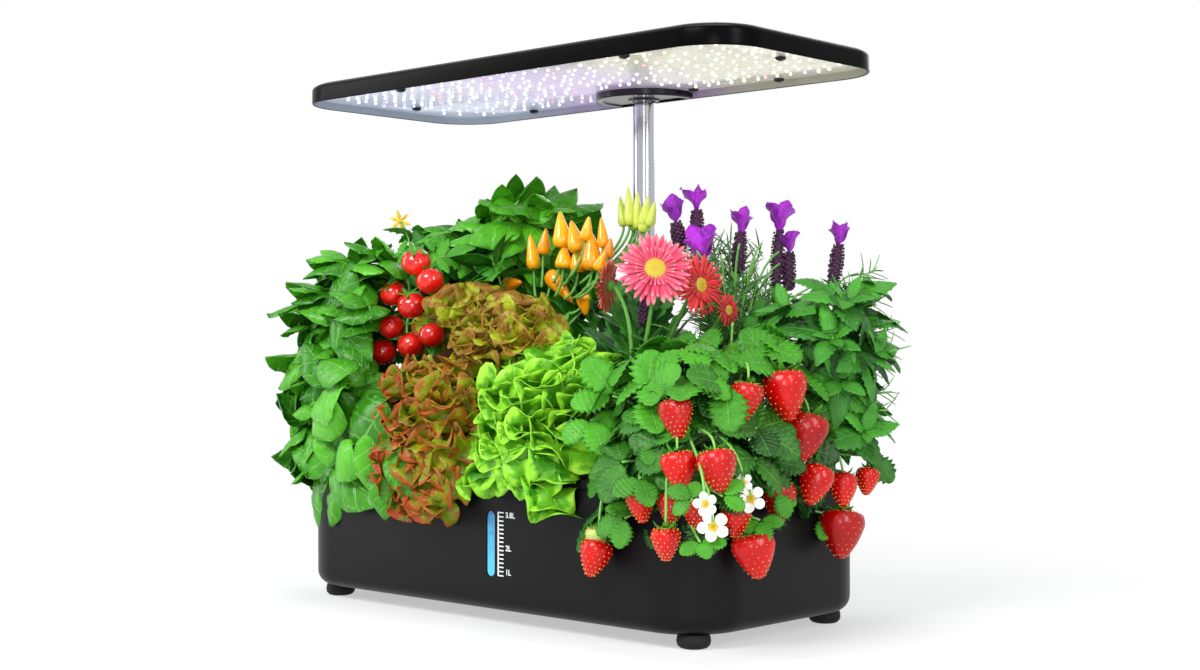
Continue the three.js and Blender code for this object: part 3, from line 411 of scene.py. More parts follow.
# %% [markdown]
# ## Building meshes from sheets
#
# Most pieces here are skins: rings of points joined into a closed body. A small bag collects the
# points, the faces, a map for the leaf pattern and a tint for each leaf, and turns them into one
# mesh at the end, which is much quicker than hundreds of small objects.

# %% The bag
class Bag:
    def __init__(self):
        self.points, self.faces, self.maps, self.tints, self.slots = [], [], [], [], []
        self.count = 0

    def add(self, points, faces, maps=None, tint=0.5, slot=0):
        points = np.asarray(points, dtype=np.float64).reshape(-1, 3)
        faces = [np.asarray(group, dtype=np.int64) for group in faces]
        self.points.append(points)
        self.maps.append(np.zeros((len(points), 2)) if maps is None else np.asarray(maps, dtype=np.float64))
        self.tints.append(np.broadcast_to(np.asarray(tint, dtype=np.float64), (len(points),)))
        for group in faces:
            self.faces.append(group + self.count)
            self.slots.append(np.full(len(group), slot))
        self.count += len(points)

    def mesh(self, name, materials, smooth=True, sharp=None):
        points = np.concatenate(self.points)
        loops = np.concatenate([group.ravel() for group in self.faces])
        sizes = np.concatenate([np.full(len(group), group.shape[1]) for group in self.faces])
        mesh = bpy.data.meshes.new(name)
        mesh.vertices.add(len(points))
        mesh.vertices.foreach_set("co", points.ravel())
        mesh.loops.add(len(loops))
        mesh.loops.foreach_set("vertex_index", loops)
        mesh.polygons.add(len(sizes))
        mesh.polygons.foreach_set("loop_start", np.concatenate([[0], np.cumsum(sizes)[:-1]]))
        mesh.polygons.foreach_set("loop_total", sizes)
        mesh.polygons.foreach_set("material_index", np.concatenate(self.slots))
        mesh.update(calc_edges=True)
        leaf_map = mesh.uv_layers.new(name="leaf")
        leaf_map.data.foreach_set("uv", np.concatenate(self.maps)[loops].ravel())
        tint = mesh.attributes.new("tint", "FLOAT", "POINT")
        tint.data.foreach_set("value", np.concatenate(self.tints))
        for material in materials:
            mesh.materials.append(material)
        mesh.polygons.foreach_set("use_smooth", np.full(len(sizes), smooth))
        if sharp is not None:
            mesh.set_sharp_from_angle(angle=math.radians(sharp))
        mesh.validate()
        return mesh


def piece(name, mesh, body, replaces=()):
    made = linked(name, mesh)
    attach(made, body)
    if replaces:
        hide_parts(*replaces)
    return made


# %% Rings and skins
def rounded_ring(width, depth, radius, z, steps=16, centre=(0.0, 0.0)):
    ring = []
    for corner, (side_x, side_y) in enumerate(((1, 1), (-1, 1), (-1, -1), (1, -1))):
        angle = (corner + np.linspace(0, 1, steps + 1)) * math.pi / 2
        x = centre[0] + side_x * (width / 2 - radius) + radius * np.cos(angle)
        y = centre[1] + side_y * (depth / 2 - radius) + radius * np.sin(angle)
        ring.append(np.stack([x, y, np.full_like(x, z)], axis=1))
    return np.concatenate(ring)


def circle_ring(radius, z, sides=48, centre=(0.0, 0.0)):
    angle = np.linspace(0, 2 * math.pi, sides, endpoint=False)
    return np.stack([centre[0] + radius * np.cos(angle), centre[1] + radius * np.sin(angle),
                     np.full_like(angle, z)], axis=1)


def skin(rings, capped=True, looped=False):
    """Join rings of the same count into a skin: capped at both ends, or looped back to the first."""
    count = len(rings[0])
    points = np.concatenate(rings)
    around = np.arange(count)
    after = (around + 1) % count
    quads = []
    levels = len(rings) if looped else len(rings) - 1
    for level in range(levels):
        low, high = level * count, (level + 1) % len(rings) * count
        quads.append(np.stack([low + around, low + after, high + after, high + around], axis=1))
    faces = [np.concatenate(quads)]
    if capped and not looped:
        last = (len(rings) - 1) * count
        faces.append(around[::-1][None, :])
        faces.append((last + around)[None, :])
    return points, faces


def quarter(steps):
    return np.linspace(0, math.pi / 2, steps + 1)


def rounded_edge(ring, radius, height, steps, inset=0.0):
    """Rings that round an edge. Each is ring(inset, height), the last one upright with the wall."""
    return [ring(inset + radius * (1 - math.sin(a)), height + radius * (1 - math.cos(a)))
            for a in quarter(steps)]


print("a quarter turn in", len(quarter(8)) - 1, "steps")


# %% [markdown]
# ## Tank
#
# The tank is one moulded tub. The CAD tub has few faces round its corners, which would show as
# flats in the light, so the same outline is lofted again with many more. Its slot for the sight
# window is cut by a boolean.

# %% Tank sizes, read from the frame
tank_low, tank_high = box_of("reservoir")
TANK_WIDTH, TANK_DEPTH = (tank_high - tank_low)[:2]
TANK_LOW, TANK_RIM = tank_low[2], tank_high[2]
TANK_CORNER = 43 * MM
TANK_WALL = 2.6 * MM
TANK_FOOT_ROUND = 11 * MM
FOOT_STEPS = 8
TANK_FLOOR = 2.8 * MM
RIM_ROUND = 0.8 * MM
window_low, window_high = box_of("sight_window")
WINDOW_FLANGE = 3 * MM
WINDOW_WIDTH = window_high[0] - window_low[0] - 2 * WINDOW_FLANGE
WINDOW_X = (window_low[0] + window_high[0]) / 2
WINDOW_Z = (window_low[2] + WINDOW_FLANGE, window_high[2] - WINDOW_FLANGE)
SEAT_GAP = 0.3 * MM
print("tank", round(TANK_WIDTH / MM), "x", round(TANK_DEPTH / MM, 1), "window", round(WINDOW_WIDTH / MM, 1))


# %% Tub
def tank_ring(inset, z):
    return rounded_ring(TANK_WIDTH - 2 * inset, TANK_DEPTH - 2 * inset, TANK_CORNER - inset, z, steps=20)


def pill_ring(grow, y, steps=14):
    """The sight window's outline, round at both ends, grown a little and set at a depth."""
    radius = WINDOW_WIDTH / 2 + grow
    low, high = WINDOW_Z[0] + WINDOW_WIDTH / 2, WINDOW_Z[1] - WINDOW_WIDTH / 2
    turn = np.linspace(0, math.pi, steps + 1)
    x = WINDOW_X + radius * np.concatenate([np.cos(turn), -np.cos(turn)])
    z = np.concatenate([high + radius * np.sin(turn), low - radius * np.sin(turn)])
    return np.stack([x, np.full_like(x, y), z], axis=1)


tub_rings = (
    rounded_edge(tank_ring, TANK_FOOT_ROUND, TANK_LOW, FOOT_STEPS)
    + [tank_ring(0, TANK_RIM - RIM_ROUND), tank_ring(RIM_ROUND, TANK_RIM), tank_ring(TANK_WALL, TANK_RIM)]
    + rounded_edge(tank_ring, TANK_FOOT_ROUND - TANK_WALL, TANK_LOW + TANK_FLOOR, FOOT_STEPS, TANK_WALL)[::-1]
)
bag = Bag()
bag.add(*skin(tub_rings))
tub = linked("tank_tub", bag.mesh("tank_tub", [tank_finish], sharp=50))
print("tub rings:", len(tub_rings))


# %% Baking modifiers into a mesh
def baked(thing, name):
    """Apply every modifier of an object, give back its mesh and remove the object."""
    bpy.context.view_layer.update()
    graph = bpy.context.evaluated_depsgraph_get()
    graph.update()
    mesh = bpy.data.meshes.new_from_object(thing.evaluated_get(graph), preserve_all_data_layers=True,
                                           depsgraph=graph)
    mesh.name = name
    bpy.data.objects.remove(thing)
    return mesh


MERGE_DISTANCE = 0.00001


def recalculated(mesh, merge=MERGE_DISTANCE):
    work = bmesh.new()
    work.from_mesh(mesh)
    bmesh.ops.remove_doubles(work, verts=work.verts, dist=merge)
    bmesh.ops.recalc_face_normals(work, faces=work.faces)
    work.to_mesh(mesh)
    work.free()
    return mesh


FRONT = -TANK_DEPTH / 2
SLOT_CUT = (-4 * MM, 8 * MM)
SLOT_STEPS = 12
recalculated(tub.data)
bag = Bag()
bag.add(*skin([pill_ring(SEAT_GAP, FRONT + reach, SLOT_STEPS) for reach in SLOT_CUT]))
slot_tool = linked("slot_tool", recalculated(bag.mesh("slot_tool", [])))
cut = tub.modifiers.new("slot", "BOOLEAN")
cut.object = slot_tool
cut.solver = "EXACT"
tub_mesh = baked(tub, "tank_tub")
tub_mesh.set_sharp_from_angle(angle=math.radians(40))
bpy.data.objects.remove(slot_tool)
piece("tank_tub", tub_mesh, "tank", ["reservoir"])
print("tub faces:", len(tub_mesh.polygons))


# %% [markdown]
# ## Leaves
#
# A leaf is a thin closed sheet. One grid is bent along its midrib (droop), across it (cup and fold)
# and along its edge (teeth and waves), then a second grid lies a third of a millimetre under it.
# Modelling each by hand would take days, so one function makes all leaves of a plant at once, and
# a plant is told apart by its leaf kind: how wide, how toothed, how folded and how puckered.

# %% Leaf kinds
LEAF_THICKNESS = 0.35 * MM
LEAST_DROOP = 0.001
GOLDEN_ANGLE = math.pi * (3 - math.sqrt(5))
UP = np.array([0.0, 0.0, 1.0])


def leaf_kind(**changes):
    kind = dict(ratio=0.6, widest=0.42, fullness=0.75, cup=0.7, fold=0.0, teeth=0, tooth=0.0,
                waves=0.0, ruffle=0.0, pairs=5, slant=0.2, pucker=0.0, across=6, along=10)
    kind.update(changes)
    return SimpleNamespace(**kind)


BASIL = leaf_kind(ratio=0.72, widest=0.44, fullness=0.66, cup=0.95, pairs=4, slant=0.25, pucker=0.17,
                  along=12, waves=1.2, ruffle=0.04)
MINT = leaf_kind(ratio=0.5, widest=0.4, fullness=0.8, cup=0.4, fold=0.16, teeth=7, tooth=0.3, pairs=7,
                 slant=0.25, pucker=0.12, across=4, along=21)
TOMATO = leaf_kind(ratio=0.56, widest=0.38, fullness=0.8, cup=0.5, fold=0.12, teeth=4, tooth=0.6, pairs=4,
                   pucker=0.12, across=4, along=12)
PEPPER = leaf_kind(ratio=0.42, widest=0.4, fullness=1.0, cup=0.6, fold=0.2, pairs=5, pucker=0.08, across=4)
STRAWBERRY = leaf_kind(ratio=0.78, widest=0.52, fullness=0.62, cup=0.3, fold=0.24, teeth=7, tooth=0.5,
                       pairs=7, slant=0.34, pucker=0.16, across=4, along=21)
GERBERA = leaf_kind(ratio=0.34, widest=0.6, fullness=0.7, cup=0.3, fold=0.2, teeth=5, tooth=0.7, pairs=5,
                    across=4, along=15)
NEEDLE = leaf_kind(ratio=0.075, widest=0.4, fullness=0.5, cup=1.2, pairs=1, along=4, across=2)
SEPAL = leaf_kind(ratio=0.4, widest=0.35, fullness=0.9, cup=0.4, pairs=3, along=6, across=4)
PETAL = leaf_kind(ratio=0.2, widest=0.64, fullness=0.45, cup=0.9, pairs=1, along=8, across=4)
ROUND_PETAL = leaf_kind(ratio=0.95, widest=0.55, fullness=0.5, cup=-0.5, pairs=1, along=8, across=6)
print("leaf kinds ready")


# %% Make a batch of leaves
def unit(vector):
    vector = np.asarray(vector, dtype=np.float64)
    return vector / np.maximum(np.linalg.norm(vector, axis=-1, keepdims=True), 1e-9)


def sheet_faces(along, across):
    """Faces of one closed sheet: the upper grid, the lower grid and the rim between them."""
    row = across + 1
    count = (along + 1) * row
    i, j = np.meshgrid(np.arange(along), np.arange(across), indexing="ij")
    corner = (i * row + j).ravel()
    upper = np.stack([corner, corner + row, corner + row + 1, corner + 1], axis=1)
    rim = np.concatenate([np.arange(along + 1) * row, along * row + np.arange(1, row),
                          np.arange(along - 1, -1, -1) * row + across, np.arange(across - 1, 0, -1)])
    after = np.roll(rim, -1)
    edge = np.stack([rim, rim + count, after + count, after], axis=1)
    return np.concatenate([upper, upper[:, ::-1] + count, edge])


def bent(along_leaf, above, droop):
    """Bend a flat strip into an arc: give back the distance ahead and the height."""
    turn = droop * along_leaf
    ahead = np.sin(turn) / droop + above * np.sin(turn)
    height = -(1 - np.cos(turn)) / droop + above * np.cos(turn)
    return ahead, height


def place_sheets(bag, rows, flat, beside, above, slot):
    """Bend flat-made sheets, in shares of each leaf's length, and put them at their base and heading."""
    along, across = above.shape[1] - 1, above.shape[2] - 1
    base = np.array([row[0] for row in rows])
    forward = unit([row[1] for row in rows])
    side = unit(np.cross([row[2] for row in rows], forward))
    lift = np.cross(forward, side)
    length, droop, tint = (np.array([row[column] for row in rows]) for column in (3, 4, 5))
    length, droop = length[:, None, None], droop[:, None, None] + LEAST_DROOP
    points = []
    for layer in (above, above - LEAF_THICKNESS / length):
        ahead, height = bent(flat, layer, droop)
        where = base[:, None, None, :]
        for share, axis in ((ahead, forward), (beside, side), (height, lift)):
            where = where + (share * length)[..., None] * axis[:, None, None, :]
        points.append(where.reshape(len(rows), -1, 3))
    points = np.concatenate(points, axis=1)
    each = points.shape[1]
    faces = (sheet_faces(along, across)[None] + np.arange(len(rows))[:, None, None] * each).reshape(-1, 4)
    over, out = np.meshgrid(np.linspace(0, 1, across + 1), np.linspace(0, 1, along + 1))
    maps = np.stack([over.ravel(), out.ravel()], axis=1)
    bag.add(points.reshape(-1, 3), [faces], np.tile(maps, (2 * len(rows), 1)), np.repeat(tint, each), slot)


def add_leaves(bag, kind, rows, slot=0, seed=1):
    """rows: (base, forward, up, length, droop, tint) for each leaf."""
    if not rows:
        return
    rng = np.random.default_rng(seed)
    u = np.linspace(0, 1, kind.along + 1)[None, :, None]
    v = np.linspace(-1, 1, kind.across + 1)[None, None, :]
    phase = rng.uniform(0, 2 * math.pi, (len(rows), 1, 1))
    skew = math.log(0.5) / math.log(kind.widest)
    profile = np.sin(math.pi * np.clip(u, 0.004, 0.997) ** skew) ** kind.fullness
    half = 0.5 * kind.ratio * np.maximum(profile, 0.035)
    if kind.teeth:
        ramp = (u * kind.teeth + 1e-6) % 1.0 - 0.35
        half = half * (1 + kind.tooth * ramp * np.abs(v) ** 4 * (profile > 0.3))
    if abs(kind.cup) > 0.01:
        beside = half * np.sin(kind.cup * v) / kind.cup
        above = -half * (1 - np.cos(kind.cup * v)) / kind.cup
    else:
        beside, above = half * v, 0 * half * v
    above = above + kind.fold * half * np.abs(v)
    ripple = np.sin(2 * math.pi * kind.waves * u + phase + 1.3 * np.sign(v))
    above = above + kind.ruffle * np.abs(v) ** 2 * ripple
    swell = -np.cos(2 * math.pi * kind.pairs * (u - kind.slant * np.abs(v))) * np.abs(v) * (1.25 - np.abs(v))
    place_sheets(bag, rows, u + 0 * v, beside, above + kind.pucker * half * swell, slot)


def add_frills(bag, rows, slot=0, seed=1, spread=1.2, waves=3.0, frill=0.2, across=20, along=5):
    """Lettuce leaves: fans whose outer edge is too long for them, so that it goes in curls."""
    rng = np.random.default_rng(seed)
    r = np.linspace(0, 1, along + 1)[None, :, None] ** 0.8
    phi = np.linspace(-1, 1, across + 1)[None, None, :]
    phase = rng.uniform(0, 2 * math.pi, (4, len(rows), 1, 1))
    opening = spread * (0.22 + 0.78 * r ** 1.2)
    reach = r * (1 - 0.3 * phi ** 4) * (1 + 0.09 * r ** 2 * np.sin(2.6 * waves * phi + phase[0]))
    curl = r ** 4
    angle = opening * phi + 0.11 * curl * np.sin(2 * waves * phi + phase[1])
    above = 0.1 * r ** 2 * np.abs(phi) + frill * curl * np.sin(2 * waves * phi + phase[2])
    above = above + 0.4 * frill * r ** 6 * np.sin(3.3 * waves * phi + phase[3])
    above = above + 0.03 * r * np.sin(7 * r + 3 * phi + phase[1])
    place_sheets(bag, rows, reach * np.cos(angle), reach * np.sin(angle), above, slot)


print("corners of a small sheet:", len(sheet_faces(2, 2)) * 4)


# %% Stems, and turned fruit
def bezier(start, bend, end, steps=12):
    t = np.linspace(0, 1, steps + 1)[:, None]
    return (1 - t) ** 2 * np.asarray(start) + 2 * t * (1 - t) * np.asarray(bend) + t ** 2 * np.asarray(end)


def add_tube(bag, points, radius, end_radius=None, sides=6, slot=1, tint=0.5):
    points = np.asarray(points)
    radii = np.linspace(radius, radius if end_radius is None else end_radius, len(points))
    heading = unit(np.gradient(points, axis=0))
    reference = np.array([0.31, 0.95, 0.05]) if abs(heading[0][1]) < 0.8 else np.array([0.95, 0.05, 0.31])
    side = unit(np.cross(heading, reference))
    other = np.cross(heading, side)
    angle = np.linspace(0, 2 * math.pi, sides, endpoint=False)
    ring = np.cos(angle)[None, :, None] * side[:, None] + np.sin(angle)[None, :, None] * other[:, None]
    rings = points[:, None] + ring * radii[:, None, None]
    body, faces = skin(list(rings))
    bag.add(body, faces, tint=tint, slot=slot)


def axis_frame(aim):
    aim = unit(aim)
    side = unit(np.cross(aim, [0.3, 0.9, 0.2] if abs(aim[1]) < 0.9 else [1.0, 0.0, 0.0]))
    return side, np.cross(aim, side), aim


def around_axis(aim, angle):
    """A direction at right angles to aim, turned about it."""
    side, other, _ = axis_frame(aim)
    return math.cos(angle) * side + math.sin(angle) * other


def add_turned(bag, profile, at, aim, sides=24, slot=2, tint=0.5, wobble=None, map_turns=1.0):
    """Turn (radius, distance) pairs about an axis through at. The first and last radius is zero."""
    side, other, axis = axis_frame(aim)
    profile = np.asarray(profile)
    inner = profile[1:-1]
    angle = np.linspace(0, 2 * math.pi, sides, endpoint=False)
    radius = inner[:, 0][:, None] * np.ones_like(angle)
    if wobble is not None:
        radius = radius * wobble(angle[None, :], np.linspace(0, 1, len(inner))[:, None])
    rings = (at + radius[..., None]
             * (np.cos(angle)[None, :, None] * side + np.sin(angle)[None, :, None] * other)
             + inner[:, 1][:, None, None] * axis)
    body, faces = skin(list(rings), capped=False)
    first, last = len(body), len(body) + 1
    ends = np.array([at + profile[0, 1] * axis, at + profile[-1, 1] * axis])
    around = np.arange(sides)
    after = (around + 1) % sides
    top = (len(inner) - 1) * sides
    fans = np.concatenate([np.stack([after, around, np.full(sides, first)], axis=1),
                           np.stack([top + around, top + after, np.full(sides, last)], axis=1)])
    along = np.concatenate([np.repeat(np.linspace(0, 1, len(inner)), sides), [0, 1]])
    across = np.concatenate([np.tile(angle / (2 * math.pi) * map_turns, len(inner)), [0.5, 0.5]])
    bag.add(np.concatenate([body, ends]), [*faces, fans], np.stack([across, along], axis=1), tint, slot)


def arc_profile(points, steps=14):
    """A smooth profile through a few (radius, distance) points."""
    points = np.asarray(points, dtype=np.float64)
    knots = np.concatenate([[0], np.cumsum(np.linalg.norm(np.diff(points, axis=0), axis=1))])
    where = np.linspace(0, knots[-1], steps + 1)
    slopes = np.gradient(points, knots, axis=0)
    slot_of = np.clip(np.searchsorted(knots, where, side="right") - 1, 0, len(knots) - 2)
    gap = (knots[slot_of + 1] - knots[slot_of])[:, None]
    t = ((where - knots[slot_of])[:, None]) / gap
    a, b = points[slot_of], points[slot_of + 1]
    ma, mb = slopes[slot_of] * gap, slopes[slot_of + 1] * gap
    return ((2 * t**3 - 3 * t**2 + 1) * a + (t**3 - 2 * t**2 + t) * ma
            + (-2 * t**3 + 3 * t**2) * b + (t**3 - t**2) * mb)


# %% [markdown]
# ## Where the plants stand
#
# In the CAD model each plant is one plain closed crown. Leaves are grown on that crown's own skin, so
# that the dressed plant keeps its size and stays clear of its neighbours. Points are spread over the skin
# like seeds thrown on it: many are drawn by chance, and one that falls too near to another, to the next
# plant or to the tank is thrown away. The seed of the draw is fixed, so every run gives the same plant.

# %% Crowns
DECK_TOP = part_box("grow_deck")[1][2]
CROWN_OF_POD = {
    "01": "basil_plant_front", "02": "red_lettuce_plant", "03": "green_lettuce_plant",
    "04": "strawberry_plant_front",
    "05": "tomato_plant", "06": "pepper_plant", "07": "gerbera_plant", "08": "strawberry_plant_side",
    "09": "basil_plant_corner", "10": "basil_plant_rear", "11": "lavender_plant", "12": "mint_plant",
}
NEIGHBOUR_GAP = 6 * MM
WALL_GAP = 6 * MM


def solid_triangles(name):
    mesh = bpy.data.objects[name].data
    points = np.empty(3 * len(mesh.vertices))
    corners = np.empty(len(mesh.loops), dtype=np.int64)
    mesh.vertices.foreach_get("co", points)
    mesh.loops.foreach_get("vertex_index", corners)
    return points.reshape(-1, 3)[corners.reshape(-1, 3)]


crown_triangles = {plant: solid_triangles(plant) for plant in CROWN_OF_POD.values()}
crown_skins = {}
for plant, triangles in crown_triangles.items():
    faces = np.arange(3 * len(triangles)).reshape(-1, 3).tolist()
    crown_skins[plant] = BVHTree.FromPolygons(triangles.reshape(-1, 3).tolist(), faces)


class Crown:
    """The room of one plant: its pod's centre, and the skin of its foliage."""

    def __init__(self, pod):
        self.pod = pod
        self.plant = CROWN_OF_POD[pod]
        low, high = box_of(self.plant)
        basket_low, basket_high = box_of("net_basket_" + pod)
        self.foot = (basket_low + basket_high) / 2
        self.foot[2] = basket_high[2]
        self.middle = (low + high) / 2
        self.half = (high - low) / 2
        self.top = high[2]

    def at(self, x_share, y_share, z_share):
        """A point by shares: -1 to 1 across and in depth, 0 to 1 from the deck to the crown's top."""
        return np.array([self.middle[0] + x_share * self.half[0], self.middle[1] + y_share * self.half[1],
                         DECK_TOP + z_share * (self.top - DECK_TOP)])

    def open_to_air(self, point, normal):
        inside = np.abs(point[:2]) < np.array([TANK_WIDTH, TANK_DEPTH]) / 2 + WALL_GAP
        if normal[2] < -0.7 or (inside.all() and point[2] < DECK_TOP + WALL_GAP):
            return False
        others = (skin for plant, skin in crown_skins.items() if plant != self.plant)
        return all(skin.find_nearest(Vector(point), NEIGHBOUR_GAP)[0] is None for skin in others)

    def spots(self, spacing, seed, lowest=0.0, highest=1.0):
        """Points on the crown's skin at least spacing apart, each with the way out of the plant."""
        rng = np.random.default_rng(seed)
        triangles = crown_triangles[self.plant]
        normals = np.cross(triangles[:, 1] - triangles[:, 0], triangles[:, 2] - triangles[:, 0])
        areas = np.linalg.norm(normals, axis=1) / 2
        count = int(8 * areas.sum() / spacing ** 2)
        drawn = rng.choice(len(triangles), count, p=areas / areas.sum())
        a, b = rng.uniform(0, 1, (2, count))
        a, b = np.where(a + b > 1, 1 - a, a)[:, None], np.where(a + b > 1, 1 - b, b)[:, None]
        corner, second, third = (triangles[drawn, i] for i in range(3))
        points = corner + a * (second - corner) + b * (third - corner)
        kept, found = np.empty((0, 3)), []
        for point, normal in zip(points, unit(normals[drawn])):
            if not lowest < point[2] < highest:
                continue
            if len(kept) and np.linalg.norm(kept - point, axis=1).min() < spacing:
                continue
            if self.open_to_air(point, normal):
                kept = np.vstack([kept, point])
                found.append((point, unit(0.45 * normal + 0.55 * unit((point - self.middle) / self.half))))
        return found


def beside_tank(u, v, reach):
    """The point of pixel (u, v) that lies a distance outside the tank's front or right wall."""
    ray = view_ray(u, v)
    front = (-TANK_DEPTH / 2 - reach - camera_place[1]) / ray[1]
    right = (TANK_WIDTH / 2 + reach - camera_place[0]) / ray[0]
    return np.array(camera_place + ray * max(front, right))


def towards_camera(point):
    return unit(np.array(camera_place) - point)


def pixel_size(point):
    """How many metres one pixel of the photograph spans at a point."""
    return np.linalg.norm(np.array(camera_place) - point) / FOCAL_PIXELS


print("deck at", round(DECK_TOP, 4), "crowns:", len(crown_skins))


# %% [markdown]
# ## Fruit and flowers first
#
# A gardener turns a plant so that its fruit shows. Here the places of all fruit and flowers
# are settled before any leaf grows, each from its pixel in the photograph and the plane in which its
# plant carries it. Leaves that would stand in front of one are left off later.

# %% Places from the photograph
FRONT_BERRIES = (
    (594, 559, 33, 14, 0.75), (666, 545, 30, 16, 0.7), (641, 507, 30, 12, 0.8), (680, 472, 36, 12, 0.75),
    (718, 472, 38, 20, 0.5), (677, 420, 36, 6, 0.35), (755, 557, 40, 16, 0.75), (736, 522, 30, 8, 0.6),
    (671, 510, 28, 4, 0.3), (697, 516, 26, 2, 0.4),
)
SIDE_BERRIES = (
    (746, 402, 34, 6, 0.6), (786, 397, 46, 12, 0.6), (804, 439, 44, 14, 0.2), (814, 486, 36, 16, 0.7),
    (843, 491, 30, 16, 0.75), (867, 482, 24, 18, 0.8), (841, 535, 42, 14, 0.3), (779, 503, 36, 8, 0.25),
)
BLOSSOMS = ((705, 504, 13, 26), (713, 527, 16, 27), (751, 499, 15, 25), (743, 483, 10, 24))
TOMATOES = ((416, 262, 30), (430, 281, 28), (393, 293, 27), (412, 305, 30), (392, 327, 26), (411, 345, 28),
            (432, 335, 27), (383, 352, 28))
TRUSS_Y = -62
TOMATO_FLOWER = (400, 221)
ORANGE_PEPPERS = (
    (562, 247, 560, 211, 19), (543, 254, 546, 228, 14), (534, 269, 530, 234, 15), (563, 268, 564, 245, 18),
    (577, 251, 571, 220, 18), (585, 240, 589, 216, 13), (603, 247, 601, 217, 12), (592, 270, 591, 232, 22),
    (607, 257, 611, 238, 12), (550, 274, 573, 303, 18), (505, 286, 522, 282, 16), (584, 294, 586, 316, 18),
    (598, 270, 606, 250, 15), (578, 272, 577, 244, 17),
)
PALE_PEPPERS = ((624, 226, 620, 196, 11), (630, 225, 628, 187, 12), (637, 228, 637, 191, 12),
                (643, 226, 648, 195, 12),
                (649, 226, 655, 201, 11), (633, 230, 632, 204, 11), (643, 232, 644, 206, 11))
PEPPER_Y = 14
PALE_Y = 44
GERBERAS = (
    (655, 269, 38, 5, (0.05, 0.45), -24, 30, 12),
    (700, 285, 32, 6, (0.75, 0.15), 4, 26, 8),
    (728, 310, 17, 6, (0.9, 0.1), 22, 20, 5),
    (608, 286, 27, 7, (-1.9, 0.1), -22, 26, 8),
)
SPIKES = (
    (676, 222, 681, 250, 27, 78), (697, 210, 697, 248, 24, 84), (703, 262, 706, 286, 34, 96),
    (741, 232, 738, 273, 24, 100), (779, 230, 776, 288, 28, 112), (789, 252, 789, 290, 22, 118),
    (839, 244, 833, 284, 24, 158), (648, 296, 644, 324, 0, 72),
)
SCALE_U = 502
SCALE_V = (516, 545, 570)
SCALE_SIGHT = 18
sight_lines = []


def in_photograph(points):
    """The pixel of each point in the photograph, and its depth."""
    away = np.asarray(points) - np.array(camera_place)
    depth = away @ np.array(view_forward)
    return (PHOTO_WIDTH / 2 + FOCAL_PIXELS * (away @ np.array(to_right)) / depth,
            PHOTO_HEIGHT / 2 - FOCAL_PIXELS * (away @ np.array(view_up)) / depth, depth)


def keep_in_sight(point, radius):
    u, v, depth = in_photograph(point)
    sight_lines.append((u, v, radius, depth))


for u, v, width, reach, ripeness in FRONT_BERRIES + SIDE_BERRIES:
    keep_in_sight(beside_tank(u, v, reach * MM), 0.42 * width)
for u, v, radius, reach in BLOSSOMS:
    keep_in_sight(beside_tank(u, v, reach * MM), 1.1 * radius)
for u, v, width in TOMATOES:
    keep_in_sight(seen_at(u, v, y=TRUSS_Y), 0.5 * width)
for rows, plane in ((ORANGE_PEPPERS, PEPPER_Y), (PALE_PEPPERS, PALE_Y)):
    for u, v, tip_u, tip_v, width in rows:
        keep_in_sight(seen_at((u + tip_u) / 2, (v + tip_v) / 2, y=plane), 0.5 * abs(tip_v - v))
for u, v, radius, *_, plane, petals, disc in GERBERAS:
    keep_in_sight(seen_at(u, v, y=plane), 0.95 * radius)
for top_u, top_v, foot_u, foot_v, tuft, x in SPIKES:
    keep_in_sight(seen_at(top_u, top_v - tuft / 2, x=x), 12)
    keep_in_sight(seen_at((top_u + foot_u) / 2, (top_v + foot_v) / 2, x=x), 12)
for v in SCALE_V:
    keep_in_sight(beside_tank(SCALE_U, v, 0), SCALE_SIGHT)

EDGE_SHARE = 0.22
REACH_OUTSIDE = 1 * MM
LOW_LIMIT, HIGH_LIMIT = (np.array(corner) + side * REACH_OUTSIDE for corner, side in zip(CAD_BOX, (-1, 1)))
MAST_AXIS = np.array([0, MAST_Y]) * MM
MAST_ROOM = 24 * MM
WHORL_SIZE = 9 * MM
DEPTH_SLACK = 4 * MM
lid_low, lid_high = box_of("water_lid")
LID_SWING = np.array([0, 0, 0.9 * max(lid_high - lid_low)])


def in_the_way(centre, length):
    """True for leaves that would touch the mast's collar or the opened water lid."""
    at_mast = np.linalg.norm(centre[:, :2] - MAST_AXIS, axis=1) < MAST_ROOM + 0.4 * length
    room = 0.45 * length[:, None]
    over_lid = np.all((centre > lid_low - room) & (centre < lid_high + room + LID_SWING), axis=1)
    return at_mast | over_lid


def cleared(rows, blocking=0.32):
    """Leave off the leaves in front of fruit and flowers, and draw in those that reach too far out."""
    if not rows:
        return rows
    base = np.array([row[0] for row in rows])
    length = np.array([row[3] for row in rows])
    forward = unit([row[1] for row in rows])
    middle = base + 0.5 * forward * length[:, None]
    u, v, depth = in_photograph(middle)
    hides = in_the_way(middle, length)
    for at_u, at_v, radius, far in sight_lines:
        covered = radius + blocking * length * FOCAL_PIXELS / depth
        hides |= (depth < far + DEPTH_SLACK) & (np.hypot(u - at_u, v - at_v) < covered)
    near = (np.linalg.norm(base[:, None] - base[None], axis=2) < WHORL_SIZE).astype(float)
    hides |= near @ hides > 0.5 * near.sum(axis=1)
    tip = base + forward * length[:, None]
    spread = EDGE_SHARE * length[:, None]
    over = np.maximum(0, tip + spread - HIGH_LIMIT) - np.maximum(0, LOW_LIMIT - tip + spread)
    return [(base[i] - over[i], *rows[i][1:]) for i in range(len(rows)) if not hides[i]]


print("sight lines:", len(sight_lines))
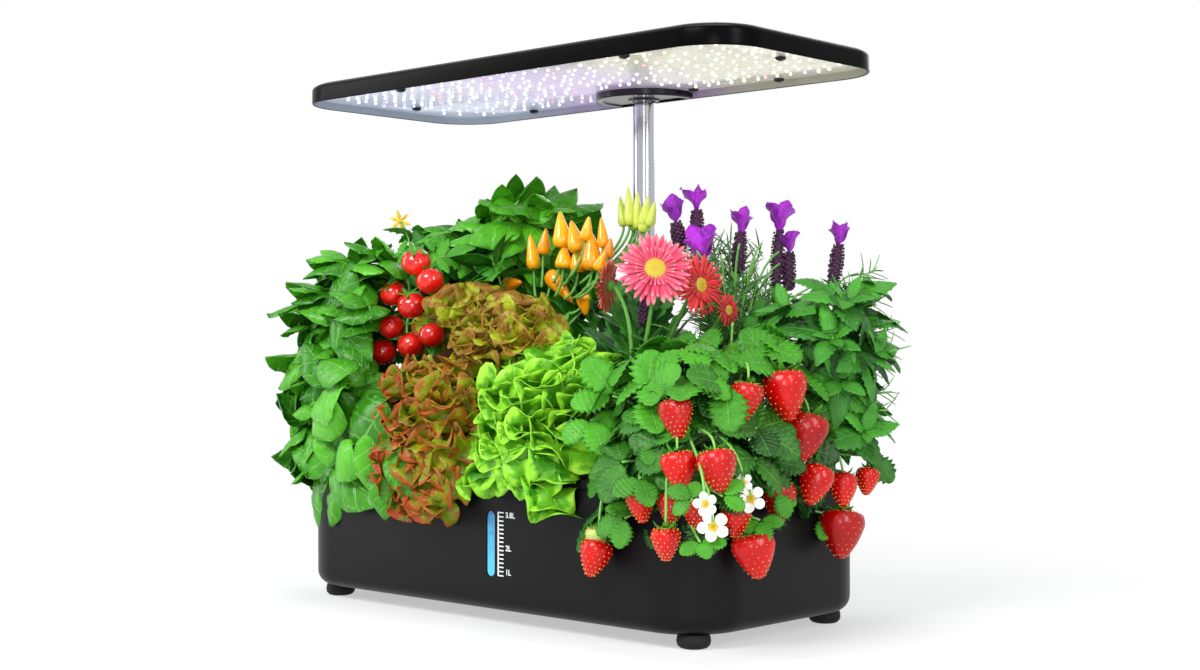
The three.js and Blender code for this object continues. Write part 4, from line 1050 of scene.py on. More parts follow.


# %% [markdown]
# ## Leaf finishes
#
# A leaf's colour changes from plant to plant, from leaf to leaf and from rib to rim. Its material mixes
# two greens by the leaf's tint, which also carries painted shade on deeper leaves and, on strawberry leaves,
# painted light from above, lays the paler veins over them, and presses the veins into the surface by a bump,
# in step with the folds of the mesh, so that the light catches the swell between them.

# %% Leaf materials
def leaf_finish(name, dark, light, vein, kind, vein_share=0.3, vein_width=0.12, rim=None, rim_light=None,
                rim_start=0.6, roughness=0.42, depth=0.0006, mottle=0.35, sheen=0.0):
    material, tree = new_material(name)
    spots = noise(tree, object_place(tree), 120.0, 3.0)
    blotch = swing(tree, spots, 2 * mottle)
    share = calc(tree, "+", leaf_tint(tree), blotch, clamp=True)
    color = mix_colors(tree, share, rgb(dark), rgb(light))
    effect = place_group(tree, vein_group, Pairs=kind.pairs, Slant=kind.slant * kind.pairs,
                         Vein_width=vein_width)
    color = mix_colors(tree, calc(tree, "*", effect.outputs["Vein"], vein_share), color, rgb(vein))
    if rim is not None:
        outer = smooth_step(tree, calc(tree, "+", leaf_place(tree)["Y"], blotch), rim_start, 1.0)
        edge_color = mix_colors(tree, share, rgb(rim), rgb(rim_light or rim))
        color = mix_colors(tree, outer, color, edge_color)
    rough = between(tree, spots, roughness - 0.1, roughness + 0.1)
    height = calc(tree, "+", effect.outputs["Swell"], calc(tree, "*", spots, 0.35))
    add_principled(tree, Base_Color=color, Roughness=rough, Sheen_Weight=sheen, Specular_IOR_Level=0.28,
                   Normal=bump(tree, height, 0.6, depth))
    return material


def fruit_finish(name, dark, light, roughness=0.2, coat=0.5, spot=None, grain=0.0012, depth=0.00008):
    material, tree = new_material(name)
    cloud = noise(tree, object_place(tree), 60.0, 2.0)
    share = calc(tree, "+", leaf_tint(tree), calc(tree, "-", cloud, 0.5), clamp=True)
    color = mix_colors(tree, share, rgb(dark), rgb(light))
    if spot is not None:
        near_end = calc(tree, "-", 1.0, smooth_step(tree, leaf_place(tree)["Y"], 0.0, 0.3))
        color = mix_colors(tree, calc(tree, "*", near_end, 0.8), color, rgb(spot))
    rough = between(tree, cloud, roughness - 0.05, roughness + 0.08)
    effect = place_group(tree, grain_group, Grain_size=grain, Cloud_size=0.03)
    add_principled(tree, Base_Color=color, Roughness=rough, Coat_Weight=coat, Coat_Roughness=0.08,
                   Specular_IOR_Level=0.25, Normal=bump(tree, effect.outputs["Height"], 0.3, depth))
    return material


def fibre_finish(name, dark, light, stretch=(300.0, 300.0, 60.0), roughness=0.6, depth=0.0003):
    """Stems, florets and sponge: two colours broken up by a stretched noise."""
    material, tree = new_material(name)
    fibre = stretched_noise(tree, stretch, 3.0)
    share = calc(tree, "+", calc(tree, "*", leaf_tint(tree), 0.6), calc(tree, "*", fibre, 0.5), clamp=True)
    color = mix_colors(tree, share, rgb(dark), rgb(light))
    rough = between(tree, fibre, roughness - 0.1, roughness + 0.1)
    add_principled(tree, Base_Color=color, Roughness=rough, Normal=bump(tree, fibre, 0.5, depth))
    return material


FRILL = leaf_kind(pairs=5, slant=0.16)
basil_leaf = leaf_finish("basil_leaf", "125a0a", "58b422", "98dc68", BASIL, vein_share=0.35, roughness=0.3,
                         depth=0.0009)
mint_leaf = leaf_finish("mint_leaf", "0f4c10", "4aa42c", "94d070", MINT, vein_share=0.35, depth=0.0008,
                        roughness=0.48)
tomato_leaf = leaf_finish("tomato_leaf", "1a6610", "56b024", "90cc60", TOMATO, depth=0.0008, roughness=0.5)
pepper_leaf = leaf_finish("pepper_leaf", "185c10", "50a826", "80c058", PEPPER, roughness=0.34)
strawberry_leaf = leaf_finish("strawberry_leaf", "073a0a", "4aa41e", "9cd874", STRAWBERRY, vein_share=0.4,
                              depth=0.0009, roughness=0.42)
gerbera_leaf = leaf_finish("gerbera_leaf", "145010", "46942a", "84bc68", GERBERA, roughness=0.5)
needle_leaf = leaf_finish("needle_leaf", "2c6b2c", "74ac58", "9cc98a", NEEDLE, roughness=0.5)
red_frill = leaf_finish("red_lettuce_leaf", "4c6008", "a4b01c", "b0b840", FRILL, vein_share=0.2,
                        rim="b83614", rim_light="86601a", rim_start=0.72, roughness=0.4, mottle=0.8)
green_frill = leaf_finish("green_lettuce_leaf", "1f7408", "6cb818", "a8dc64", FRILL, vein_share=0.3,
                          rim="7cc824", rim_light="a4e03c", rim_start=0.72, roughness=0.4, mottle=0.5)
stem_green = fibre_finish("green_stem", "2f7a24", "86c95a")
sponge = fibre_finish("grow_sponge", "2b211a", "5a4634", stretch=(900.0, 900.0, 900.0), roughness=0.9,
                      depth=0.0006)
# A dark green lump inside the green lettuce stands in for the shade between its leaves: painted shade.
green_shade_lump = fibre_finish("leaf_shade", "0b2c0a", "174f14", roughness=0.7)
print("materials:", len(bpy.data.materials))


# %% [markdown]
# ## Growing a plant
#
# Every plant starts from its sponge plug in the net basket. At each spot of the crown's skin stands a
# whorl of leaves: large ones below, smaller and more upright ones above, as at the tip of a real shoot.
# A second layer a little deeper closes the gaps; its leaves get a darker tint, which is painted shade. Stems
# run from the plug to the whorls.

# %% Plug, stems and whorls
PLUG_DROP = 26 * MM
PLUG_RADIUS = 12.6 * MM
PLUG_FOOT_RADIUS = 10.6 * MM
SHOOT = ((4, 1.0, 0.25), (2, 0.62, 1.0))
plant_count = {}


def start_plant(crown, slot=2):
    bag = Bag()
    top = crown.foot - UP * 0.8 * MM
    profile = [(0, 0), (PLUG_RADIUS * 0.9, 0), (PLUG_RADIUS, -1.2 * MM), (PLUG_FOOT_RADIUS, -PLUG_DROP),
               (0, -PLUG_DROP)]
    add_turned(bag, profile[::-1], top, UP, sides=28, slot=slot)
    return bag


def finish_plant(bag, crown, name, materials):
    made = piece(name, bag.mesh(name, materials), "pod_" + crown.pod, [crown.plant])
    plant_count[name] = sum(len(p.vertices) - 2 for p in made.data.polygons)
    print(name, plant_count[name], "triangles")


def stem_path(crown, tip, lift=0.55, steps=12):
    start = crown.foot - UP * 4 * MM
    bend = start + (tip - start) * np.array([0.25, 0.25, lift]) + UP * 0.1 * np.linalg.norm(tip - start)
    return bezier(start, bend, tip, steps)


def add_stem(bag, crown, tip, radius=1.4, lift=0.7, tint=0.6):
    add_tube(bag, stem_path(crown, tip, lift), radius * MM, 0.6 * radius * MM, slot=1, tint=tint)


def shade_of(tint, rng, spread=0.28):
    return float(np.clip(tint + rng.uniform(-spread, spread), 0, 1))


def whorl(at, axis, rng, size, tiers=SHOOT, tint=0.5, droop=(0.3, 1.0)):
    """Rings of leaves about an axis. A tier is (leaves, share of the size, rise along the axis)."""
    spin = rng.uniform(0, 2 * math.pi)
    rows = []
    for level, (count, share, rise) in enumerate(tiers):
        for k in range(count):
            outward = around_axis(axis, spin + 0.8 * level + 2 * math.pi * k / count
                                  + rng.uniform(-0.25, 0.25))
            ahead = unit(outward + (rise + rng.uniform(-0.1, 0.15)) * axis)
            rows.append((at + outward * 1.2 * MM, ahead, unit(axis + 0.25 * UP),
                         size * share * rng.uniform(0.7, 1.22),
                         rng.uniform(*droop), shade_of(tint + 0.12 * level, rng)))
    return rows


def grow_bush(bag, crown, kind, size, spacing, seed, tint=0.5, tiers=SHOOT, rise=0.6, deep=14 * MM,
              droop=(0.3, 1.0), **limits):
    """Whorls all over the crown, and a deeper layer of leaves under them, tinted darker as painted shade."""
    rng = np.random.default_rng(seed)
    rows = []
    for number, (point, outward) in enumerate(crown.spots(spacing, seed, **limits)):
        at = point - outward * 0.22 * size
        rows += whorl(at, unit(outward + rise * UP), rng, size, tiers, tint, droop)
        if number % 3 == 0:
            add_stem(bag, crown, at, tint=rng.uniform(0.3, 0.8))
    # The deeper whorls get a tint lowered by 0.35: painted shade.
    for point, outward in crown.spots(spacing, seed + 1, **limits):
        rows += whorl(point - outward * deep, outward, rng, size, ((3, 0.9, 0.3),), tint - 0.35, droop)
    add_leaves(bag, kind, cleared(rows), 0, seed)


def picked_leaves(picks, width_up=0.5, droop=0.5):
    """Leaf rows from pixels: (stalk u, stalk v, tip u, tip v, reach of stalk, reach of tip, tint)."""
    rows = []
    for stalk_u, stalk_v, tip_u, tip_v, near, far, shade in picks:
        start = beside_tank(stalk_u, stalk_v, near * MM)
        end = beside_tank(tip_u, tip_v, far * MM)
        facing = towards_camera(start) + width_up * UP
        rows.append((start, end - start, facing, np.linalg.norm(end - start) * 1.08, droop, shade))
    return rows


print("leaves in a whorl:", sum(count for count, share, rise in SHOOT))


# %% [markdown]
# ## Basil
#
# Three basil plants stand on the left. Their leaves are broad, cupped and glossy, with a pale midrib.
# The outer ones hang over the tank's corner. The few large leaves that catch the eye in the
# photograph are set one by one, from the pixels of their stalk and of their tip.

# %% Basil plants
HANGING_BASIL = (
    (388, 462, 384, 516, 14, 22, 0.45), (386, 402, 336, 472, 22, 26, 0.25), (372, 430, 372, 490, 18, 22, 0.7),
    (334, 398, 300, 440, 28, 26, 0.95), (350, 374, 316, 350, 28, 26, 0.5), (343, 388, 298, 398, 30, 27, 0.9),
    (396, 438, 414, 492, 18, 22, 0.4), (352, 446, 324, 480, 26, 24, 0.95), (408, 452, 404, 502, 16, 20, 0.6),
)
# basil_rear's tint of 0.85 is painted light: its leaves are made paler to make up for its place away from the
# lamps.
BASIL_PLANTS = (
    ("01", "basil_front", 50, 29, 12, 0.45, (0.4, 1.2), 88),
    ("09", "basil_corner", 44, 28, 22, 0.5, (0.4, 1.1), 0),
    ("10", "basil_rear", 46, 25, 32, 0.85, (0.2, 0.8), 0),
)
for pod, name, size, spacing, seed, tint, droop, lowest in BASIL_PLANTS:
    crown = Crown(pod)
    bag = start_plant(crown)
    grow_bush(bag, crown, BASIL, size * MM, spacing * MM, seed, tint, droop=droop, lowest=lowest * MM)
    if pod == "01":
        add_leaves(bag, BASIL, picked_leaves(HANGING_BASIL), 0, 13)
    finish_plant(bag, crown, name, [basil_leaf, stem_green, sponge])


# %% [markdown]
# ## Lettuce
#
# A loose-leaf lettuce is a ball of fans whose edges are far longer than the leaf, so they go in
# curls. The red one is olive at the base of each leaf, rust-red along the frill low on the left
# and brown towards the top; the green one is bright, with paler edges.

# %% Lettuce plants
HANGING = 14 * MM
LETTUCE_SHADE_LUMP = ((0, -0.9), (0.62, -0.7), (0.85, 0), (0.62, 0.6), (0, 0.9))


def grow_lettuce(bag, crown, size, spacing, seed, tint_of, layers, lowest, extra=(), **frills):
    rng = np.random.default_rng(seed)
    rows = []
    for layer, (sink, share, gap) in enumerate(layers):
        for point, outward in crown.spots(spacing * gap, seed + layer, lowest) + list(extra):
            length = size * share * rng.uniform(0.8, 1.2)
            ahead = unit(0.8 * outward + 0.45 * UP + rng.normal(0, 0.16, 3))
            facing = unit(UP - 0.7 * outward + rng.normal(0, 0.3, 3))
            if point[2] < DECK_TOP + HANGING:
                ahead = unit(0.45 * outward - 0.6 * UP + rng.normal(0, 0.2, 3))
                facing = unit(outward + 0.4 * UP + rng.normal(0, 0.2, 3))
            base = point - ahead * length * (0.82 + sink if point[2] > DECK_TOP + HANGING else 0.5)
            # A sunk layer's tint is lowered by its sink: painted shade.
            rows.append((base, ahead, facing, length, rng.uniform(-0.6, 0.9),
                         shade_of(tint_of(point) - sink, rng, 0.2)))
    add_frills(bag, cleared(rows, 0.4), 0, seed, **frills)
    # A dark lump turned inside the leaves fills the gaps between them with painted shade.
    shade_lump = arc_profile(LETTUCE_SHADE_LUMP, 10) * 0.5 * (crown.top - DECK_TOP)
    add_turned(bag, shade_lump * np.array([0.55, 0.62]), crown.at(0, 0, 0.38), UP, sides=20, slot=3)



def red_share(point):
    """Rust-red at 0, low on the left; olive-brown at 1, towards the top and the right."""
    rise = (point[2] - DECK_TOP) / (red_lettuce.top - DECK_TOP)
    across = (point[0] - red_lettuce.middle[0]) / red_lettuce.half[0]
    return 0.35 + 0.5 * rise + 0.22 * across


# A dark brown lump inside the red lettuce stands in for the shade between its leaves: painted shade.
red_shade_lump = plastic("red_shade_lump", "241206", "3a1e0a", 0.6, specular=0.1)
LEAN_CENTRE = np.array([8, -66, 192]) * MM
LEAN_HALF = np.array([40, 32, 30]) * MM
LEANING_FANS = 150
red_lettuce = Crown("02")
rng = np.random.default_rng(40)
leaning = [(LEAN_CENTRE + way * LEAN_HALF, way) for way in unit(rng.normal(0, 1, (LEANING_FANS, 3)))
           if way[2] > -0.6 and way[1] < 0.2]
bag = start_plant(red_lettuce)
grow_lettuce(bag, red_lettuce, 23 * MM, 8.5 * MM, 41, red_share, ((0.0, 1.0, 1.0),), 80 * MM, leaning,
             frill=0.28)
finish_plant(bag, red_lettuce, "red_lettuce", [red_frill, stem_green, sponge, red_shade_lump])

green_lettuce = Crown("03")
bag = start_plant(green_lettuce)
grow_lettuce(bag, green_lettuce, 28 * MM, 10.5 * MM, 51, lambda point: 0.5,
             ((0.0, 1.0, 1.0), (0.3, 1.1, 1.7)), 88 * MM, frill=0.2)
finish_plant(bag, green_lettuce, "green_lettuce",
             [green_frill, stem_green, sponge, green_shade_lump])


# %% [markdown]
# ## Scattering small shapes
#
# Seeds, florets, lamp chips and screws repeat by the dozen. Copying objects would be slow to edit, so a
# Geometry Nodes tree puts one small shape on every point of a mesh, turned to the point's own
# direction and scaled by its own size, and then makes the copies real.

# %% Scatter tree
def new_geometry_tree(name, inputs):
    group = bpy.data.node_groups.new(name, "GeometryNodeTree")
    group.interface.new_socket("Geometry", in_out="INPUT", socket_type="NodeSocketGeometry")
    for label, kind in inputs.items():
        group.interface.new_socket(label, in_out="INPUT", socket_type="NodeSocket" + kind)
    group.interface.new_socket("Geometry", in_out="OUTPUT", socket_type="NodeSocketGeometry")
    return group, node(group, "NodeGroupInput"), node(group, "NodeGroupOutput")


scatter_group, scatter_in, scatter_out = new_geometry_tree(
    "scatter_on_points", {"Shape": "Object", "Scale": "Float", "Material": "Material"})
shape_info = node(scatter_group, "GeometryNodeObjectInfo", {"Object": scatter_in.outputs["Shape"]})
aim = node(scatter_group, "GeometryNodeInputNamedAttribute", {"Name": "aim"}, data_type="FLOAT_VECTOR")
size_of = node(scatter_group, "GeometryNodeInputNamedAttribute", {"Name": "size"}, data_type="FLOAT")
aligned = node(scatter_group, "FunctionNodeAlignRotationToVector", {"Vector": aim.outputs["Attribute"]},
               axis="Z")
scaled = calc(scatter_group, "*", size_of.outputs["Attribute"], scatter_in.outputs["Scale"])
placed = node(scatter_group, "GeometryNodeInstanceOnPoints",
              {"Points": scatter_in.outputs["Geometry"], "Instance": shape_info.outputs["Geometry"],
               "Rotation": aligned.outputs["Rotation"], "Scale": scaled})
realized = node(scatter_group, "GeometryNodeRealizeInstances", {"Geometry": placed.outputs["Instances"]})
painted = node(scatter_group, "GeometryNodeSetMaterial",
               {"Geometry": realized.outputs["Geometry"], "Material": scatter_in.outputs["Material"]})
scatter_group.links.new(painted.outputs["Geometry"], scatter_out.inputs["Geometry"])


def run_tree(group, mesh, inputs, name):
    """Run a tree on a mesh and give back the result as a plain mesh."""
    holder = linked("holder", mesh)
    modifier = holder.modifiers.new("tree", "NODES")
    modifier.node_group = group
    for item in group.interface.items_tree:
        if item.item_type == "SOCKET" and item.in_out == "INPUT" and item.name in inputs:
            modifier[item.identifier] = inputs[item.name]
    return baked(holder, name)


def scatter(name, shape, spots, material, scale=1.0):
    """spots: (point, aim, size, tint) for each copy of the shape."""
    cloud = bpy.data.meshes.new(name + "_points")
    cloud.from_pydata([tuple(s[0]) for s in spots], [], [])
    aims = cloud.attributes.new("aim", "FLOAT_VECTOR", "POINT")
    aims.data.foreach_set("vector", np.array([s[1] for s in spots], dtype=np.float64).ravel())
    for label, column in (("size", 2), ("tint", 3)):
        values = cloud.attributes.new(label, "FLOAT", "POINT")
        values.data.foreach_set("value", np.array([s[column] for s in spots], dtype=np.float64))
    part = linked("shape", shape)
    result = run_tree(scatter_group, cloud, {"Shape": part, "Scale": scale, "Material": material}, name)
    bpy.data.objects.remove(part)
    return result


def turned_shape(name, profile, sides=6):
    bag = Bag()
    add_turned(bag, profile, np.zeros(3), UP, sides=sides, slot=0)
    shape = bag.mesh(name, [])
    shape.attributes.remove(shape.attributes["tint"])
    return shape


seed_shape = turned_shape("seed", [(0, -0.5), (0.32, -0.1), (0.2, 0.35), (0, 0.5)], 5)
bead_shape = turned_shape("bead", [(0, -0.4), (0.42, -0.1), (0.42, 0.2), (0, 0.5)], 6)
print("shapes:", seed_shape.name, bead_shape.name)


# %% Fruit and petal finishes
berry_red = fruit_finish("strawberry_red", "900104", "d00808", spot="e84424", roughness=0.3, coat=0.2)
berry_pale = fruit_finish("strawberry_unripe", "8fae40", "d4da8c", roughness=0.35, coat=0.3)
seed_gold = fruit_finish("strawberry_seed", "a86a1c", "f0cc5a", roughness=0.4, coat=0.2)
tomato_red = fruit_finish("tomato_red", "b00608", "e41c10", roughness=0.12, coat=0.8, grain=0.004)
pepper_orange = fruit_finish("pepper_orange", "f07808", "ffc014", roughness=0.2, coat=0.6, grain=0.003)
pepper_pale = fruit_finish("pepper_pale", "b4d428", "e6f070", roughness=0.25, coat=0.5, grain=0.003)
petal_white = leaf_finish("petal_white", "e8e8dc", "fbfbf6", "ffffff", PETAL, vein_share=0.2, roughness=0.55,
                          mottle=0.1)
petal_pink = leaf_finish("petal_pink", "d81c50", "f0607c", "f8a4b0", PETAL, vein_share=0.4, vein_width=0.5,
                         roughness=0.5, rim="f48c9c", rim_start=0.8, sheen=0.2)
petal_red = leaf_finish("petal_red", "ac0c18", "e83030", "f46c60", PETAL, vein_share=0.35, vein_width=0.5,
                        roughness=0.5, sheen=0.2)
petal_salmon = leaf_finish("petal_salmon", "c83a28", "ec8068", "f4b098", PETAL, vein_share=0.4,
                           vein_width=0.5, roughness=0.5)
petal_yellow = leaf_finish("petal_yellow", "eebb04", "ffe23a", "fff07a", SEPAL, vein_share=0.3, roughness=0.5)
disc_yellow = fibre_finish("flower_disc", "8c8418", "f8cc38", stretch=(900.0, 900.0, 900.0), depth=0.0005)
bract_violet = leaf_finish("lavender_bract", "7c0a9c", "b828d4", "d468e8", SEPAL, vein_share=0.4,
                           roughness=0.5, sheen=0.2)
floret_dark = fibre_finish("lavender_floret", "200a24", "5c2a54", stretch=(500.0, 500.0, 500.0),
                           roughness=0.7)
print("materials:", len(bpy.data.materials))


# %% [markdown]
# ## Strawberries
#
# Two strawberry plants fill the right front. A berry is a turned shape with a dimple at each crossing
# of two spirals, and a golden seed sits in each dimple. Leaves come in threes on long stalks, and
# the berries hang on thin stalks over the wall. Fruit and flowers stand at their pixels.

# %% Berry
BERRY_ROWS = 6
BERRY_ROUND = 12
CALYX_LEAVES = 9
BERRY_SHAPE = ((0, 0.05), (0.26, 0.0), (0.46, 0.08), (0.5, 0.22), (0.42, 0.5), (0.25, 0.8), (0.08, 0.98),
               (0, 1.0))


def add_berry(bag, seeds, at, aim, length, rng, slot=2, width=0.92, tint=0.5):
    profile = arc_profile(BERRY_SHAPE, 30) * np.array([width, 1.0])
    spin = rng.uniform(0, 1)

    def dimples(angle, share):
        turn = BERRY_ROUND * (angle + spin)
        slant = 2 * math.pi * BERRY_ROWS * share
        wave = np.cos(turn + slant) + np.cos(turn - slant)
        lobes = 1 + 0.035 * np.cos(3 * angle + spin * 6)
        return lobes * (1 - 0.06 * np.maximum(0, wave / 2) ** 3)

    add_turned(bag, profile * length, at, aim, sides=48, slot=slot, tint=tint, wobble=dimples)
    side, other, axis = axis_frame(aim)
    inner = profile[1:-1]
    for row in range(1, 2 * BERRY_ROWS):
        place = row / (2 * BERRY_ROWS) * (len(inner) - 1)
        low = int(place)
        radius, ahead = inner[low] + (inner[min(low + 1, len(inner) - 1)] - inner[low]) * (place - low)
        slope = inner[min(low + 1, len(inner) - 1)] - inner[max(low - 1, 0)]
        for j in range(BERRY_ROUND):
            angle = math.pi * (2 * j + row) / BERRY_ROUND - spin
            outward = math.cos(angle) * side + math.sin(angle) * other
            normal = unit(outward * slope[1] - axis * slope[0])
            point = at + (radius * 0.955 * outward + ahead * axis) * length
            seeds.append((point, normal, 1.0, rng.uniform(0.2, 1)))
    rows = []
    for k in range(CALYX_LEAVES):
        outward = around_axis(aim, k * 2 * math.pi / CALYX_LEAVES + rng.uniform(-0.2, 0.2))
        rows.append((at + axis * 0.02 * length, unit(outward - axis * rng.uniform(-0.1, 0.5)), -axis,
                     length * rng.uniform(0.34, 0.46), rng.uniform(-0.9, 0.6), rng.uniform(0.4, 0.9)))
    return rows


def hang_berries(bag, crown, picks, seed):
    """picks: (u, v, width in pixels, reach, ripeness) with u, v at the berry's middle."""
    rng = np.random.default_rng(seed)
    seeds, sepals = [], []
    for u, v, width, reach, ripeness in picks:
        middle = beside_tank(u, v, reach * MM)
        length = width * pixel_size(middle) * 1.12
        aim = unit(-UP + rng.normal(0, 0.16, 3) + 0.15 * towards_camera(middle))
        at = middle - aim * length * 0.5
        sepals += add_berry(bag, seeds, at, aim, length, rng, tint=ripeness, width=rng.uniform(0.86, 1.0))
        start = crown.foot + UP * rng.uniform(20, 60) * MM
        bend = np.array([at[0], at[1], max(at[2], DECK_TOP) + rng.uniform(18, 40) * MM])
        add_tube(bag, bezier(start, bend, at + aim * 0.01 * length, 14), 1.1 * MM, 0.8 * MM, slot=1, tint=0.9)
    add_leaves(bag, SEPAL, sepals, 0, seed)
    return seeds


print("dimples on a berry:", BERRY_ROUND * (2 * BERRY_ROWS - 1))


# %% Leaves in threes, and flower heads
def trifoliate(at, forward, up, size, rng, tint=0.5):
    forward, up = unit(forward), unit(up)
    side = unit(np.cross(up, forward))
    rows = []
    for turn, share in ((0.0, 1.0), (1.2, 0.9), (-1.2, 0.9)):
        heading = math.cos(turn) * forward + math.sin(turn) * side
        rows.append((at + heading * 1.5 * MM, heading, up + heading * 0.15,
                     size * share * rng.uniform(0.9, 1.1), rng.uniform(0.2, 0.8), shade_of(tint, rng, 0.12)))
    return rows


def grow_strawberry(bag, crown, seed, size, spacing, picks, lowest):
    rng = np.random.default_rng(seed)
    rows = []
    # The deeper layer of leaves gets a lower tint: painted shade.
    for layer, (sink, shade) in enumerate(((0.25, 0.0), (0.75, -0.4))):
        for number, (point, outward) in enumerate(crown.spots(spacing, seed + layer, lowest)):
            flat = unit(outward * np.array([1, 1, 0]) + rng.normal(0, 0.3, 3) * np.array([1, 1, 0]))
            ahead = flat - UP * (0.7 - 0.5 * outward[2])
            at = point - outward * size * sink - ahead * size * 0.2
            facing = outward + 0.55 * UP + rng.normal(0, 0.18, 3)
            # The tint rises with height: painted light from above.
            tint = 0.2 + 0.55 * (point[2] - lowest) / (crown.top - lowest) + rng.uniform(-0.15, 0.15)
            rows += trifoliate(at, ahead, facing, size * rng.uniform(0.8, 1.15), rng, tint + shade)
            if number % 2 == layer:
                add_stem(bag, crown, at, 1.3, 0.8, 0.7)
    rows = cleared(rows)
    for u, v, tip_u, tip_v, reach, width, shade in picks:
        at = beside_tank(u, v, reach * MM)
        ahead = beside_tank(tip_u, tip_v, (reach + 6) * MM) - at
        add_stem(bag, crown, at, 1.3, 0.8, 0.7)
        rows += trifoliate(at, ahead, towards_camera(at) + 0.7 * UP, width * MM, rng, shade)
    add_leaves(bag, STRAWBERRY, rows, 0, seed)


DOME_SHAPE = ((0, 0.22), (0.5, 0.2), (0.86, 0.08), (1.0, -0.1), (0.5, -0.25), (0, -0.28))
DISC_BEADS = 70


def add_blossom(bag, at, aim, radius, petals, petal_slot, disc_slot, rng, kind=ROUND_PETAL,
                rings=((1.0, 0.15),), disc=0.3, cup=0.1, beads=None):
    """A flower head: rings of petals about a domed disc, facing along aim."""
    axis = unit(aim)
    rows = []
    for ring, (reach, rise) in enumerate(rings):
        for k in range(petals):
            outward = around_axis(axis, (k + 0.5 * ring) * 2 * math.pi / petals + rng.uniform(-0.05, 0.05))
            start = at + outward * disc * radius * 0.7 + axis * ring * 0.03 * radius
            rows.append((start, unit(outward + axis * (rise + cup)), axis,
                         radius * (reach - disc * 0.6) * rng.uniform(0.92, 1.06),
                         rng.uniform(0.1, 0.5), rng.uniform(0.1, 0.9)))
    add_leaves(bag, kind, rows, petal_slot, petals)
    dome = arc_profile(DOME_SHAPE, 10)[::-1] * disc * radius
    add_turned(bag, dome, at + axis * 0.06 * radius, axis, sides=20, slot=disc_slot, tint=0.2)
    for k in range(0 if beads is None else DISC_BEADS):
        share = math.sqrt((k + 0.5) / DISC_BEADS)
        outward = around_axis(axis, k * GOLDEN_ANGLE)
        lift = axis * (0.06 + 0.22 * disc * (1 - share ** 2)) * radius
        beads.append((at + outward * share * 0.92 * disc * radius + lift, unit(axis + outward * share * 0.7),
                      1.0, share ** 2))


print("beads on a disc:", DISC_BEADS)


# %% Strawberry plants
FRONT_TRIFOLIATES = (
    (622, 462, 578, 474, 18, 28, 0.25), (625, 518, 600, 528, 14, 20, 0.6), (692, 500, 672, 486, 24, 15, 0.6),
    (700, 542, 706, 552, 24, 15, 0.75), (590, 420, 600, 440, 8, 26, 0.85), (652, 440, 690, 425, 6, 20, 0.4),
    (722, 496, 737, 482, 24, 15, 0.8), (646, 396, 668, 372, 0, 32, 0.7), (612, 396, 598, 372, -4, 28, 0.9),
    (760, 520, 764, 532, 18, 14, 0.7), (640, 478, 648, 496, 14, 22, 0.5),
)
SIDE_TRIFOLIATES = (
    (756, 428, 712, 414, 12, 30, 0.12), (758, 430, 800, 408, 12, 32, 0.3), (770, 462, 778, 486, 8, 24, 0.15),
    (868, 456, 908, 452, 14, 26, 0.35), (778, 368, 752, 352, 0, 34, 0.6), (726, 386, 690, 372, -2, 34, 0.5),
    (856, 410, 878, 430, 10, 30, 0.3), (832, 384, 858, 372, 2, 30, 0.5), (777, 492, 800, 498, 12, 18, 0.8),
    (830, 515, 838, 520, 8, 18, 0.8),
)
UNRIPE_BERRY = (597, 528)
SEED_SIZE = 1.5 * MM
strawberry_materials = [strawberry_leaf, stem_green, berry_red, petal_white, sponge, disc_yellow, berry_pale]
STRAWBERRY_PLANTS = (("04", "strawberry_front", 61, 32, 74, FRONT_TRIFOLIATES, FRONT_BERRIES),
                     ("08", "strawberry_side", 71, 32, 78, SIDE_TRIFOLIATES, SIDE_BERRIES))
for pod, name, seed, size, lowest, picks, fruit in STRAWBERRY_PLANTS:
    crown = Crown(pod)
    bag = start_plant(crown, slot=4)
    grow_strawberry(bag, crown, seed, size * MM, 27 * MM, picks, lowest * MM)
    seeds = hang_berries(bag, crown, fruit, seed + 1)
    if pod == "04":
        rng = np.random.default_rng(63)
        beads = []
        for u, v, width, reach in BLOSSOMS:
            at = beside_tank(u, v, reach * MM)
            facing = unit(towards_camera(at) + rng.normal(0, 0.12, 3) + 0.2 * UP)
            add_blossom(bag, at, facing, width * pixel_size(at), 5, 3, 5, rng, disc=0.3, beads=beads)
            start = crown.foot + UP * 40 * MM
            add_tube(bag, bezier(start, at + UP * 30 * MM, at - facing * 0.5 * MM, 12), 1.0 * MM, 0.8 * MM,
                     slot=1, tint=0.9)
        unripe = beside_tank(*UNRIPE_BERRY, 12 * MM)
        aim = unit(-UP + rng.normal(0, 0.1, 3))
        add_leaves(bag, SEPAL, add_berry(bag, seeds, unripe, aim, 16 * MM, rng, slot=6), 0, 64)
        add_stem(bag, crown, unripe, 1.0, 0.7, 0.9)
        stamens = scatter("strawberry_stamens", bead_shape, beads, disc_yellow, 1.0 * MM)
        piece("strawberry_stamens", stamens, "pod_04")
    finish_plant(bag, crown, name, strawberry_materials)
    seed_mesh = scatter(name + "_seeds", seed_shape, seeds, seed_gold, SEED_SIZE)
    piece(name + "_seeds", seed_mesh, "pod_" + pod)


# %% [markdown]
# ## Tomato and pepper
#
# The tomato has lobed leaves on a common stalk and a truss of cherry tomatoes, each with its green
# star. The pepper carries its fruit upright: a fan of orange cones, and a paler bunch behind.

